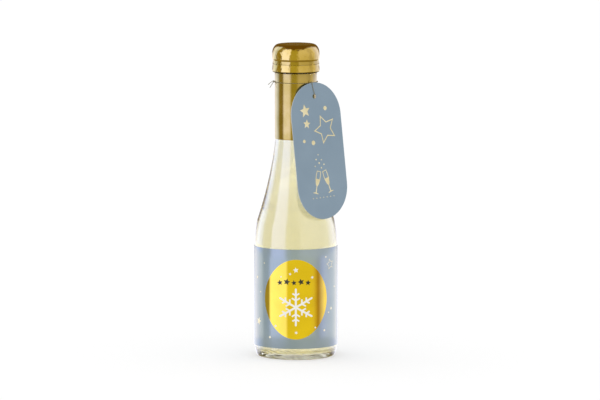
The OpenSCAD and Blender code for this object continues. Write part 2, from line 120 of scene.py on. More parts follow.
class Nodes:
    """The nodes of one material or of the world."""

    def __init__(self, tree: bpy.types.NodeTree) -> None:
        """Empties a node tree and takes it over.

        Args:
            tree: The tree of a material or of the world.
        """
        self.tree = tree
        tree.nodes.clear()

    def add(
        self,
        kind: str,
        settings: dict[str, object] | None = None,
        values: dict[int | str, object] | None = None,
        out: int | str = 0,
    ) -> Value:
        """Adds a node.

        Args:
            kind: The node's type.
            settings: Its properties, set before its sockets; "stops" are a ramp's stops.
            values: A number, colour or Value for each named or numbered socket.
            out: The output that is returned.

        Returns:
            The chosen output, or None where the node has none.
        """
        node = self.tree.nodes.new(kind)
        for name, setting in (settings or {}).items():
            if name == "stops":
                self._set_stops(node.color_ramp, setting)
            else:
                setattr(node, name, setting)
        for key, value in (values or {}).items():
            if isinstance(value, Value):
                self.tree.links.new(value.socket, node.inputs[key])
            else:
                node.inputs[key].default_value = self._fitted(node.inputs[key], value)
        return Value(self, node.outputs[out]) if node.outputs else None

    @staticmethod
    def _fitted(socket: bpy.types.NodeSocket, value: object) -> object:
        """Gives a number or colour the length that a socket takes.

        Args:
            socket: The socket that takes the value.
            value: A number, or a sequence of numbers.

        Returns:
            The value for the socket's default.
        """
        if socket.type == "VALUE" or not hasattr(socket, "default_value"):
            return value
        wanted = len(socket.default_value)
        listed = list(value) if isinstance(value, Sequence) else [value] * min(wanted, 3)
        return (listed + [1.0])[:wanted] if wanted > len(listed) else listed

    @staticmethod
    def _set_stops(ramp: bpy.types.ColorRamp, stops: object) -> None:
        """Gives a colour ramp its stops.

        Args:
            ramp: The ramp.
            stops: Pairs of a position from 0 to 1 and a grey level or colour.
        """
        listed = list(stops)
        while len(ramp.elements) < len(listed):
            ramp.elements.new(1.0)
        for element, (position, colour) in zip(ramp.elements, listed):
            element.position = position
            shade = colour if isinstance(colour, Sequence) else (colour,) * 3
            element.color = (*shade, 1.0)

    def combine(self, operation: str, left: Term, right: Term) -> Value:
        """Adds a Math node, or a Vector Math node where a term is a colour or vector.

        Args:
            operation: The node's operation.
            left: The first term.
            right: The second term.

        Returns:
            The result.
        """
        numbers = [
            term.socket.type == "VALUE" if isinstance(term, Value) else isinstance(term, (int, float))
            for term in (left, right)
        ]
        kind = "ShaderNodeMath" if all(numbers) else "ShaderNodeVectorMath"
        return self.add(kind, {"operation": operation}, {0: left, 1: right})

    def place(self) -> Value:
        """The surface point in the bottle's own frame, in millimetres."""
        return self.add("ShaderNodeTexCoord", out="Object") * (1.0 / MM)

    def split(self, vector: Value) -> tuple[Value, Value, Value]:
        """Splits a vector.

        Args:
            vector: The vector.

        Returns:
            Its X, Y and Z.
        """
        first = self.add("ShaderNodeSeparateXYZ", values={0: vector})
        return tuple(Value(self, out) for out in first.socket.node.outputs)

    def grain(self, vector: Value, scale: float, detail: float = 3.0, stretch: float = 0.0) -> Value:
        """Smooth noise from 0 to 1.

        Args:
            vector: Where it is read, in millimetres.
            scale: Cells per millimetre.
            detail: Octaves.
            stretch: Distortion.

        Returns:
            The noise.
        """
        values = {"Vector": vector, "Scale": scale, "Detail": detail, "Distortion": stretch}
        return self.add("ShaderNodeTexNoise", values=values)

    def mix(self, factor: Term, first: Term, second: Term) -> Value:
        """Mixes two colours.

        Args:
            factor: 0 for the first colour, 1 for the second.
            first: A colour.
            second: A colour.

        Returns:
            The mixed colour.
        """
        values = {0: factor, 6: first, 7: second}
        return self.add("ShaderNodeMix", {"data_type": "RGBA"}, values, out=2)

    def bump(self, height: Value, depth: float) -> Value:
        """A normal that a height field bends.

        Args:
            height: The height, from 0 to 1.
            depth: The relief's depth, in millimetres.

        Returns:
            The normal.
        """
        return self.add("ShaderNodeBump", values={"Distance": depth * MM, "Height": height})

    def surface(self, values: dict[int | str, object], volume: dict[int | str, object] | None = None) -> None:
        """Ends a material with one surface shader, and what it absorbs.

        Args:
            values: The surface shader's sockets.
            volume: The absorption's sockets, for a clear material.
        """
        ends = {"Surface": self.add("ShaderNodeBsdfPrincipled", values=values)}
        if volume:
            ends["Volume"] = self.add("ShaderNodeVolumeAbsorption", values=volume)
        self.add("ShaderNodeOutputMaterial", values=ends)


# Finishes


class Finish(ABC):
    """What a surface is finished in."""

    title: str

    def material(self) -> bpy.types.Material:
        """Makes the finish's material once.

        Returns:
            The material.
        """
        name = f"{self.title}.finish"
        known = bpy.data.materials.get(name)
        if known is not None:
            return known
        made = bpy.data.materials.new(name)
        made.use_nodes = True
        self.dress(Nodes(made.node_tree))
        return made

    @abstractmethod
    def dress(self, nodes: Nodes) -> None:
        """Builds the material.

        Args:
            nodes: The material's empty node tree.
        """


@dataclass(frozen=True)
class ClearGlass(Finish):
    """Clear flint glass from a mould, with a faint unevenness."""

    title: str = "clear_glass"
    tint: Triple = (0.93, 0.975, 0.95)
    density: float = 4.0
    ior: float = 1.5
    gloss: float = 1.0
    coat: float = 1.0
    coat_ior: float = 1.9
    ripple_scale: float = 0.06
    ripple_depth: float = 0.02

    def dress(self, nodes: Nodes) -> None:
        """Builds a clear, glossy and faintly uneven surface.

        Args:
            nodes: The material's nodes.
        """
        ripple = nodes.grain(nodes.place(), self.ripple_scale, detail=1.0)
        nodes.surface(
            {
                "Base Color": (1.0, 1.0, 1.0),
                "Roughness": 0.0,
                "IOR": self.ior,
                "Specular IOR Level": self.gloss,
                "Coat Weight": self.coat,
                "Coat Roughness": 0.0,
                "Coat IOR": self.coat_ior,
                "Transmission Weight": 1.0,
                "Normal": nodes.bump(ripple, self.ripple_depth),
            },
            {"Color": self.tint, "Density": self.density},
        )


@dataclass(frozen=True)
class PaleWine(ClearGlass):
    """Clear pale yellow wine, whose colour deepens with the way through it."""

    title: str = "pale_wine"
    tint: Triple = (0.80, 0.715, 0.16)
    density: float = 19.5
    ior: float = 1.34
    gloss: float = 0.5
    coat: float = 0.0
    ripple_scale: float = 0.05
    ripple_depth: float = 0.01


@dataclass(frozen=True)
class GoldMetal(Finish):
    """Polished gold lacquer with soft dents and fine marks round it, and painted shade at the waist and the
    lip.
    """

    title: str = "gold_metal"
    deep: Triple = (0.66, 0.49, 0.11)
    pale: Triple = (0.78, 0.60, 0.21)
    rough: float = 0.06
    rough_more: float = 0.08
    coat: float = 1.0
    coat_rough: float = 0.06
    line_scale: float = 3.0
    line_depth: float = 0.0015
    cloud_scale: float = 0.12
    along_share: float = 0.08
    dent_scale: float = 0.33
    dent_depth: float = 0.35
    # Heights, fade and depth of the painted shade at the cap's waist
    waist_z: Pair = (188.0, 192.4)
    waist_h: float = 1.2
    waist_shade_share: float = 0.2
    # Height, fade and depth of the painted shade on the band's lip
    lip_shade_z: float = 184.6
    lip_shade_h: float = 0.7
    lip_shade_share: float = 0.9

    def dress(self, nodes: Nodes) -> None:
        """Builds a polished surface with dents and fine lines.

        Args:
            nodes: The material's nodes.
        """
        place = nodes.place()
        clouds = nodes.grain(place, self.cloud_scale, detail=4.0)
        drawn = place * (self.along_share, self.along_share, 1.0)
        lines = nodes.grain(drawn, self.line_scale, detail=5.0)
        dents = nodes.grain(place, self.dent_scale, detail=1.0)
        _, _, up = nodes.split(place)
        # Painted shade: the band's lip goes almost black and the cap's waist a little darker, in base colour
        # and coat
        lip = 1.0 - self.lip_shade_share * up.between(self.lip_shade_z, self.lip_shade_z - self.lip_shade_h)
        low, high = self.waist_z
        waist = up.between(low, low + self.waist_h) * up.between(high, high - self.waist_h)
        painted_shade = lip * (1.0 - self.waist_shade_share * waist)
        nodes.surface(
            {
                "Base Color": nodes.mix(clouds.between(*CLOUD_SPAN), self.deep, self.pale) * painted_shade,
                "Metallic": 1.0,
                "Roughness": self.rough + self.rough_more * clouds * lines,
                "Coat Weight": self.coat * painted_shade,
                "Coat Roughness": self.coat_rough,
                "Normal": nodes.bump(dents * self.dent_depth + lines * self.line_depth, 1.0),
            }
        )


@dataclass(frozen=True)
class SleeveFoil(Finish):
    """Satin gold foil with fine creases up and down, and painted shade under the band."""

    title: str = "sleeve_foil"
    deep: Triple = (0.49, 0.37, 0.09)
    pale: Triple = (0.58, 0.45, 0.16)
    rough: float = 0.13
    rough_more: float = 0.08
    coat: float = 0.8
    coat_rough: float = 0.12
    crease_scale: float = 1.1
    crease_depth: float = 0.005
    cloud_scale: float = 0.12
    along_share: float = 0.08
    # Where the painted shade under the band starts, how far down it fades and how dark it gets
    shade_z: float = 183.1
    shade_h: float = 5.5
    shade_share: float = 0.12

    def dress(self, nodes: Nodes) -> None:
        """Builds a satin surface with creases.

        Args:
            nodes: The material's nodes.
        """
        place = nodes.place()
        clouds = nodes.grain(place, self.cloud_scale, detail=4.0)
        drawn = place * (1.0, 1.0, self.along_share)
        creases = nodes.grain(drawn, self.crease_scale)
        _, _, up = nodes.split(place)
        # Painted shade: the foil is darker towards its top, under the band
        shade = 1.0 - self.shade_share * up.between(self.shade_z - self.shade_h, self.shade_z)
        nodes.surface(
            {
                "Base Color": nodes.mix(clouds.between(*CLOUD_SPAN), self.deep, self.pale) * shade,
                "Metallic": 1.0,
                "Roughness": self.rough + self.rough_more * clouds,
                "Coat Weight": self.coat,
                "Coat Roughness": self.coat_rough,
                "Normal": nodes.bump(creases, self.crease_depth),
            }
        )


@dataclass(frozen=True)
class PrintFoil(Finish):
    """Stamped gold foil, which shows the paper's grain a little."""

    title: str = "print_foil"
    deep: Triple = (0.86, 0.61, 0.01)
    pale: Triple = (0.94, 0.68, 0.02)
    rough: float = 0.06
    rough_more: float = 0.06
    coat: float = 0.8
    coat_rough: float = 0.08
    coat_ior: float = 1.9
    cloud_scale: float = 0.09
    grain_scale: float = 2.4
    grain_depth: float = 0.0015
    metallic: float = 1.0

    def dress(self, nodes: Nodes) -> None:
        """Builds a bright surface with fine pits.

        Args:
            nodes: The material's nodes.
        """
        place = nodes.place()
        clouds = nodes.grain(place, self.cloud_scale)
        pits = nodes.grain(place, self.grain_scale, detail=4.0)
        nodes.surface(
            {
                "Base Color": nodes.mix(clouds.between(*CLOUD_SPAN), self.deep, self.pale),
                "Metallic": self.metallic,
                "Roughness": self.rough + self.rough_more * pits,
                "Coat Weight": self.coat,
                "Coat IOR": self.coat_ior,
                "Coat Roughness": self.coat_rough,
                "Normal": nodes.bump(pits, self.grain_depth),
            }
        )


@dataclass(frozen=True)
class PaleFoil(PrintFoil):
    """The same foil in the paler tone of the small stars."""

    title: str = "pale_foil"
    deep: Triple = (0.80, 0.72, 0.46)
    pale: Triple = (0.92, 0.86, 0.62)
    rough: float = 0.34
    metallic: float = 0.4


@dataclass(frozen=True)
class SatinPaper(Finish):
    """Blue-grey label paper with a pearly satin face and a fine fibre grain."""

    title: str = "satin_paper"
    deep: Triple = (0.245, 0.340, 0.425)
    pale: Triple = (0.285, 0.380, 0.470)
    metallic: float = 0.2
    gloss: float = 0.5
    coat: float = 1.0
    coat_rough: float = 0.16
    coat_ior: float = 2.0
    rough: float = 0.32
    rough_more: float = 0.10
    cloud_scale: float = 0.05
    fibre_scale: float = 1.8
    fibre_depth: float = 0.010
    speck_scale: float = 6.0
    speck_share: float = 0.10

    def dress(self, nodes: Nodes) -> None:
        """Builds a cloudy surface with specks and fibres.

        Args:
            nodes: The material's nodes.
        """
        place = nodes.place()
        clouds = nodes.grain(place, self.cloud_scale)
        fibres = nodes.grain(place, self.fibre_scale, detail=6.0, stretch=0.6)
        specks = nodes.grain(place, self.speck_scale, detail=2.0)
        tone = nodes.mix(clouds.between(*CLOUD_SPAN), self.deep, self.pale)
        pearl = tone * (1.0 - self.speck_share / 2 + self.speck_share * specks)
        nodes.surface(
            {
                "Base Color": pearl,
                "Metallic": self.metallic,
                "Specular IOR Level": self.gloss,
                "Roughness": self.rough + self.rough_more * fibres,
                "Coat Weight": self.coat,
                "Coat Roughness": self.coat_rough,
                "Coat IOR": self.coat_ior,
                "Normal": nodes.bump(fibres, self.fibre_depth),
            }
        )


@dataclass(frozen=True)
class TagCard(SatinPaper):
    """Blue-grey coated card, smoother and less pearly than the label."""

    title: str = "tag_card"
    deep: Triple = (0.225, 0.312, 0.398)
    pale: Triple = (0.244, 0.334, 0.421)
    metallic: float = 0.0
    coat: float = 0.0
    rough: float = 0.50
    rough_more: float = 0.12
    fibre_scale: float = 1.2
    fibre_depth: float = 0.006


@dataclass(frozen=True)
class CardCore(SatinPaper):
    """The pale fibrous core that shows on a cut edge."""

    title: str = "card_core"
    deep: Triple = (0.50, 0.54, 0.56)
    pale: Triple = (0.66, 0.68, 0.68)
    metallic: float = 0.0
    coat: float = 0.0
    rough: float = 0.75
    fibre_scale: float = 3.0
    fibre_depth: float = 0.03


@dataclass(frozen=True)
class GluedPaper(Finish):
    """The label's glued side, with a painted glow that stands in for the light that comes through the paper.
    """

    title: str = "glued_paper"
    deep: Triple = (0.82, 0.82, 0.76)
    pale: Triple = (0.92, 0.91, 0.86)
    rough: float = 0.7
    rough_more: float = 0.2
    # The strength of the painted glow
    glow: float = 0.6
    cloud_scale: float = 0.4

    def dress(self, nodes: Nodes) -> None:
        """Builds a pale surface with a painted glow.

        Args:
            nodes: The material's nodes.
        """
        clouds = nodes.grain(nodes.place(), self.cloud_scale, detail=4.0)
        tone = nodes.mix(clouds, self.deep, self.pale)
        nodes.surface(
            {
                "Base Color": tone,
                "Roughness": self.rough + self.rough_more * clouds,
                # Painted light: the emission makes the label's back show pale through the wine
                "Emission Color": tone,
                "Emission Strength": self.glow,
            }
        )


@dataclass(frozen=True)
class WhiteInk(SatinPaper):
    """White screen ink, slightly raised, with a soft gloss."""

    title: str = "white_ink"
    deep: Triple = (0.84, 0.83, 0.80)
    pale: Triple = (0.90, 0.89, 0.86)
    metallic: float = 0.0
    coat: float = 0.0
    rough: float = 0.42
    speck_share: float = 0.04


@dataclass(frozen=True)
class DarkInk(SatinPaper):
    """Dark screen ink."""

    title: str = "dark_ink"
    deep: Triple = (0.020, 0.020, 0.022)
    pale: Triple = (0.032, 0.031, 0.034)
    metallic: float = 0.0
    coat: float = 0.0
    rough: float = 0.40


@dataclass(frozen=True)
class GoldThread(Finish):
    """Twisted thread of dark gold, with paler fibres."""

    title: str = "gold_thread"
    deep: Triple = (0.17, 0.14, 0.055)
    pale: Triple = (0.46, 0.40, 0.20)
    metallic: float = 0.35
    rough: float = 0.42
    rough_more: float = 0.2
    fuzz: float = 0.3
    fibre_span: Pair = (0.35, 0.7)
    fibre_scale: float = 6.0
    fibre_depth: float = 0.05

    def dress(self, nodes: Nodes) -> None:
        """Builds a fibrous, fuzzy surface.

        Args:
            nodes: The material's nodes.
        """
        fibres = nodes.grain(nodes.place(), self.fibre_scale, detail=4.0, stretch=1.0)
        nodes.surface(
            {
                "Base Color": nodes.mix(fibres.between(*self.fibre_span), self.deep, self.pale),
                "Metallic": self.metallic,
                "Roughness": self.rough + self.rough_more * fibres,
                "Sheen Weight": self.fuzz,
                "Normal": nodes.bump(fibres, self.fibre_depth),
            }
        )


@dataclass(frozen=True)
class MouldedPlastic(Finish):
    """White moulded plastic with faint flow marks."""

    title: str = "moulded_plastic"
    deep: Triple = (0.74, 0.74, 0.72)
    pale: Triple = (0.84, 0.84, 0.82)
    rough: float = 0.38
    rough_more: float = 0.15
    milky: float = 0.1
    flow_scale: float = 0.35
    grain_scale: float = 4.0
    grain_depth: float = 0.006

    def dress(self, nodes: Nodes) -> None:
        """Builds a milky surface with flow marks.

        Args:
            nodes: The material's nodes.
        """
        place = nodes.place()
        flow = nodes.grain(place, self.flow_scale, stretch=1.5)
        fine = nodes.grain(place, self.grain_scale, detail=4.0)
        nodes.surface(
            {
                "Base Color": nodes.mix(flow, self.deep, self.pale),
                "Roughness": self.rough + self.rough_more * fine,
                "Subsurface Weight": self.milky,
                "Subsurface Scale": MM,
                "Normal": nodes.bump(fine, self.grain_depth),
            }
        )


@dataclass(frozen=True)
class LinerFoam(MouldedPlastic):
    """Soft foamed plastic with open pores."""

    title: str = "liner_foam"
    deep: Triple = (0.66, 0.64, 0.56)
    pale: Triple = (0.80, 0.78, 0.70)
    rough: float = 0.7
    grain_scale: float = 7.0
    grain_depth: float = 0.05


# Meshes


def ease(share: float) -> float:
    """Goes smoothly from 0 to 1 with its argument."""
    return (1.0 - math.cos(math.pi * min(1.0, max(0.0, share)))) / 2.0


def bezier(a: Pair, b: Pair, c: Pair, d: Pair, steps: int) -> Profile:
    """Samples a cubic curve.

    Args:
        a: Its start.
        b: The start's handle.
        c: The end's handle.
        d: Its end.
        steps: How many pieces it is cut into.

    Returns:
        The curve's points, both ends included.
    """
    points = []
    for i in range(steps + 1):
        t = i / steps
        s = 1.0 - t
        weights = (s * s * s, 3 * s * s * t, 3 * s * t * t, t * t * t)
        points.append(tuple(sum(w * p[k] for w, p in zip(weights, (a, b, c, d))) for k in (0, 1)))
    return points


def arc(centre: Pair, radius: float, start: float, end: float, steps: int) -> Profile:
    """Samples an arc.

    Args:
        centre: Its centre.
        radius: Its radius.
        start: The angle at its start, in degrees.
        end: The angle at its end.
        steps: How many pieces it is cut into.

    Returns:
        The arc's points, both ends included.
    """
    angles = [math.radians(start + (end - start) * i / steps) for i in range(steps + 1)]
    return [(centre[0] + radius * math.cos(a), centre[1] + radius * math.sin(a)) for a in angles]


def flare(low: Pair, high: Pair, steps: int) -> Profile:
    """Samples a soft step in a profile.

    Args:
        low: The radius and height at its foot.
        high: The radius and height at its top.
        steps: How many pieces it is cut into.

    Returns:
        The step's points, both ends included.
    """
    shares = [i / steps for i in range(steps + 1)]
    return [(low[0] + (high[0] - low[0]) * ease(s), low[1] + (high[1] - low[1]) * s) for s in shares]


def straight(low: Pair, high: Pair, step: float) -> Profile:
    """Samples a straight line, without its two ends.

    Args:
        low: Its start.
        high: Its end.
        step: The longest piece.

    Returns:
        The points between the two ends.
    """
    count = max(1, math.ceil(math.dist(low, high) / step))
    shares = [i / count for i in range(1, count)]
    return [(low[0] + (high[0] - low[0]) * s, low[1] + (high[1] - low[1]) * s) for s in shares]


def circle(radius: float, sides: int) -> Profile:
    """A circle about the middle, as a closed outline with so many sides."""
    return arc((0.0, 0.0), radius, 0.0, 360.0 - 360.0 / sides, sides - 1)


def moved(loop: Iterable[Pair], across: float, up: float) -> Profile:
    """An outline that is moved across and up."""
    return [(across + x, up + y) for x, y in loop]


def turned(loop: Iterable[Pair], angle: float) -> Profile:
    """An outline that is turned about the middle by an angle in degrees."""
    a = math.radians(angle)
    return [(x * math.cos(a) - y * math.sin(a), x * math.sin(a) + y * math.cos(a)) for x, y in loop]


def rounded(corners: Sequence[Pair], radius: float, steps: int = 4, side_share: float = 0.45) -> Profile:
    """Rounds the corners of a closed outline.

    Args:
        corners: The outline's corners.
        radius: The largest rounding, which short sides limit.
        steps: How many pieces a rounding is cut into.
        side_share: The share of a side that one rounding may take.

    Returns:
        The rounded outline. A corner on the axis stays sharp.
    """
    made: Profile = []
    for i, corner in enumerate(corners):
        here = Vector(corner)
        before = Vector(corners[i - 1]) - here
        after = Vector(corners[(i + 1) % len(corners)]) - here
        reach = min(radius, side_share * min(before.length, after.length))
        if corner[0] < TINY or reach < TINY:
            made.append(corner)
            continue
        start = here + before.normalized() * reach
        end = here + after.normalized() * reach
        for k in range(steps + 1):
            t = k / steps
            point = start * (1 - t) ** 2 + here * 2 * t * (1 - t) + end * t ** 2
            made.append((point.x, point.y))
    return made


def polar(radius: float, angle: float, height: float) -> Vector:
    """A point by its distance from the axis, its angle from -Y towards +X, and its height."""
    turn = math.radians(angle)
    return Vector((radius * math.sin(turn), -radius * math.cos(turn), height))


def wave(x: float, y: float, z: float) -> float:
    """Smooth noise from about -1 to 1."""
    return noise.noise(Vector((x, y, z)))


def linked(name: str, data: bpy.types.ID) -> bpy.types.Object:
    """Makes an object and puts it in the scene.

    Args:
        name: Its name.
        data: Its mesh, light or camera.

    Returns:
        The new object.
    """
    made = bpy.data.objects.new(name, data)
    bpy.context.scene.collection.objects.link(made)
    return made


class Solid:
    """A mesh in the making, in millimetres."""

    def __init__(self) -> None:
        """Starts an empty mesh."""
        self.points: list[Vector] = []
        self.faces: list[tuple[int, ...]] = []
        self.finishes: list[int] = []

    def add(self, points: Iterable[Vector], faces: Iterable[Sequence[int]]) -> None:
        """Adds points and faces.

        Args:
            points: The new points.
            faces: The new faces, numbered from the first new point.
        """
        first = len(self.points)
        self.points.extend(points)
        for face in faces:
            self.faces.append(tuple(first + i for i in face))
            self.finishes.append(0)

    def revolve(
        self,
        profile: Profile,
        steps: int,
        warp: Callable[[float, float, float], float] | None = None,
        span: Pair = (0.0, 360.0),
    ) -> None:
        """Adds a closed outline that is turned about the axis.

        Args:
            profile: The outline's radii and heights.
            steps: How many pieces the turn is cut into.
            warp: Gives a point's new radius from its radius, angle and height.
            span: The angles at which the turn starts and ends.
        """
        full = span[1] - span[0] >= 360.0
        columns = steps if full else steps + 1
        points: list[Vector] = []
        where: list[list[int]] = []
        poles: dict[int, int] = {}
        for column in range(columns):
            angle = span[0] + (span[1] - span[0]) * column / steps
            numbers = []
            for row, (radius, height) in enumerate(profile):
                if radius < TINY:
                    if row not in poles:
                        poles[row] = len(points)
                        points.append(Vector((0.0, 0.0, height)))
                    numbers.append(poles[row])
                    continue
                numbers.append(len(points))
                points.append(polar(warp(radius, angle, height) if warp else radius, angle, height))
            where.append(numbers)
        faces = []
        rows = len(profile)
        for column in range(steps):
            left, right = where[column], where[(column + 1) % columns]
            for row in range(rows):
                above = (row + 1) % rows
                corners = list(dict.fromkeys((left[row], right[row], right[above], left[above])))
                if len(corners) > 2:
                    faces.append(corners)
        if not full:
            faces.append(where[0])
            faces.append(where[-1][::-1])
        self.add(points, faces)

    def strand(self, route: Sequence[Vector], radius: float, sides: int, end_share: float = 0.55) -> None:
        """Adds a round strand with domed ends.

        Args:
            route: The points that its middle follows.
            radius: Its radius.
            sides: How many sides its section has.
            end_share: The size of its end sections, as a share of the others.
        """
        rings, _ = framed(route)
        points: list[Vector] = []
        for i, (middle, normal, other) in enumerate(rings):
            size = radius * (end_share if i in (0, len(rings) - 1) else 1.0)
            for k in range(sides):
                turn = 2 * math.pi * k / sides
                points.append(middle + (normal * math.cos(turn) + other * math.sin(turn)) * size)
        faces = []
        for i in range(len(rings) - 1):
            for k in range(sides):
                low, high = i * sides, (i + 1) * sides
                following = (k + 1) % sides
                faces.append((low + k, low + following, high + following, high + k))
        last = (len(rings) - 1) * sides
        faces.append(tuple(reversed(range(sides))))
        faces.append(tuple(last + k for k in range(sides)))
        self.add(points, faces)

    def plate(
        self,
        loops: Sequence[Sequence[Pair]],
        place: Callable[[float, float, float], Vector],
        depth: Pair,
        cut: float = 0.0,
    ) -> None:
        """Adds a flat shape of some thickness, laid on a surface.

        Args:
            loops: The shape's outline, then its holes.
            place: Gives a point from its place across and up on the surface and its lift.
            depth: The lifts of its back and of its face.
            cut: The widest piece across, for a surface that bends; 0 leaves it whole.
        """
        flat = bmesh.new()
        corners = [flat.verts.new((x, y, 0.0)) for loop in loops for x, y in loop]
        lists = [[Vector((x, y, 0.0)) for x, y in loop] for loop in loops]
        for face in tessellate_polygon(lists):
            flat.faces.new([corners[i] for i in face])
        if cut:
            low = min(v.co.x for v in corners)
            high = max(v.co.x for v in corners)
            for i in range(math.ceil(low / cut), math.floor(high / cut) + 1):
                whole = [*flat.verts, *flat.edges, *flat.faces]
                line = {"plane_co": (i * cut, 0.0, 0.0), "plane_no": (1.0, 0.0, 0.0)}
                bmesh.ops.bisect_plane(flat, geom=whole, dist=TINY, **line)
        bmesh.ops.recalc_face_normals(flat, faces=flat.faces)
        flat.verts.index_update()
        count = len(flat.verts)
        spots = [(v.co.x, v.co.y) for v in flat.verts]
        points = [place(x, y, lift) for lift in depth for x, y in spots]
        faces: list[list[int]] = []
        for face in flat.faces:
            numbers = [v.index for v in face.verts]
            faces.append([count + i for i in numbers])
            faces.append(numbers[::-1])
        for edge in flat.edges:
            if len(edge.link_loops) == 1:
                loop = edge.link_loops[0]
                a, b = loop.vert.index, loop.link_loop_next.vert.index
                faces.append([a, b, count + b, count + a])
        flat.free()
        self.add(points, faces)

    def piece(
        self,
        name: str,
        body: str,
        slot: str,
        finishes: Sequence[Finish],
        nodes: Sequence[str] = (),
        weld: float = 0.0,
    ) -> None:
        """Makes the mesh a piece of the bottle.

        Args:
            name: The piece's name.
            body: The body that it rides on.
            slot: The record's slot for its finish, which is not used.
            finishes: Its finishes, in the order of their numbers.
            nodes: The solids that it stands for.
            weld: The distance at which points are joined, in millimetres; 0 joins none.
        """
        mesh = bpy.data.meshes.new(name)
        mesh.from_pydata([p * MM for p in self.points], [], self.faces)
        work = bmesh.new()
        work.from_mesh(mesh)
        if weld:
            bmesh.ops.remove_doubles(work, verts=work.verts, dist=weld * MM)
        bmesh.ops.recalc_face_normals(work, faces=work.faces)
        work.to_mesh(mesh)
        work.free()
        for finish in finishes:
            mesh.materials.append(finish.material())
        mesh.polygons.foreach_set("material_index", self.finishes)
        mesh.shade_smooth()
        mesh.set_sharp_from_angle(angle=math.radians(CREASE))
        made = linked(name, mesh)
        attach(made, body)
        if nodes:
            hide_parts(*nodes)
        log.info("%s: %d faces on %s", name, len(self.faces), body)


def framed(route: Sequence[Vector]) -> tuple[list[tuple[Vector, Vector, Vector]], list[float]]:
    """Carries a frame along a route.

    Args:
        route: The route's points.

    Returns:
        Each point with two directions square to the route, and the length run up to it.
    """
    rings = []
    runs = [0.0]
    normal = None
    for i, point in enumerate(route):
        ahead = route[min(i + 1, len(route) - 1)] - route[max(i - 1, 0)]
        along = ahead.normalized()
        if normal is None:
            normal = along.orthogonal()
        normal = (normal - along * normal.dot(along)).normalized()
        rings.append((point.copy(), normal.copy(), along.cross(normal)))
        if i:
            runs.append(runs[-1] + (point - route[i - 1]).length)
    return rings, runs


def smoothed(route: Sequence[Vector], steps: int) -> list[Vector]:
    """Runs a smooth curve through a route's points.

    Args:
        route: The points.
        steps: How many pieces each stretch is cut into.

    Returns:
        The curve's points.
    """
    made = []
    for i in range(len(route) - 1):
        a, b = route[max(i - 1, 0)], route[i]
        c, d = route[i + 1], route[min(i + 2, len(route) - 1)]
        for k in range(steps):
            t = k / steps
            made.append(
                b + ((c - a) * t + (2 * a - 5 * b + 4 * c - d) * t * t + (3 * b - a - 3 * c + d) * t ** 3) / 2
            )
    made.append(route[-1].copy())
    return made


# Sizes that the pieces share


def round_size(node: str) -> Triple:
    """Measures a solid that is round about the axis.

    Args:
        node: The solid's name.

    Returns:
        Its outer radius, its lowest and its highest point.
    """
    low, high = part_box(node)
    return high[0] / MM, low[2] / MM, high[2] / MM


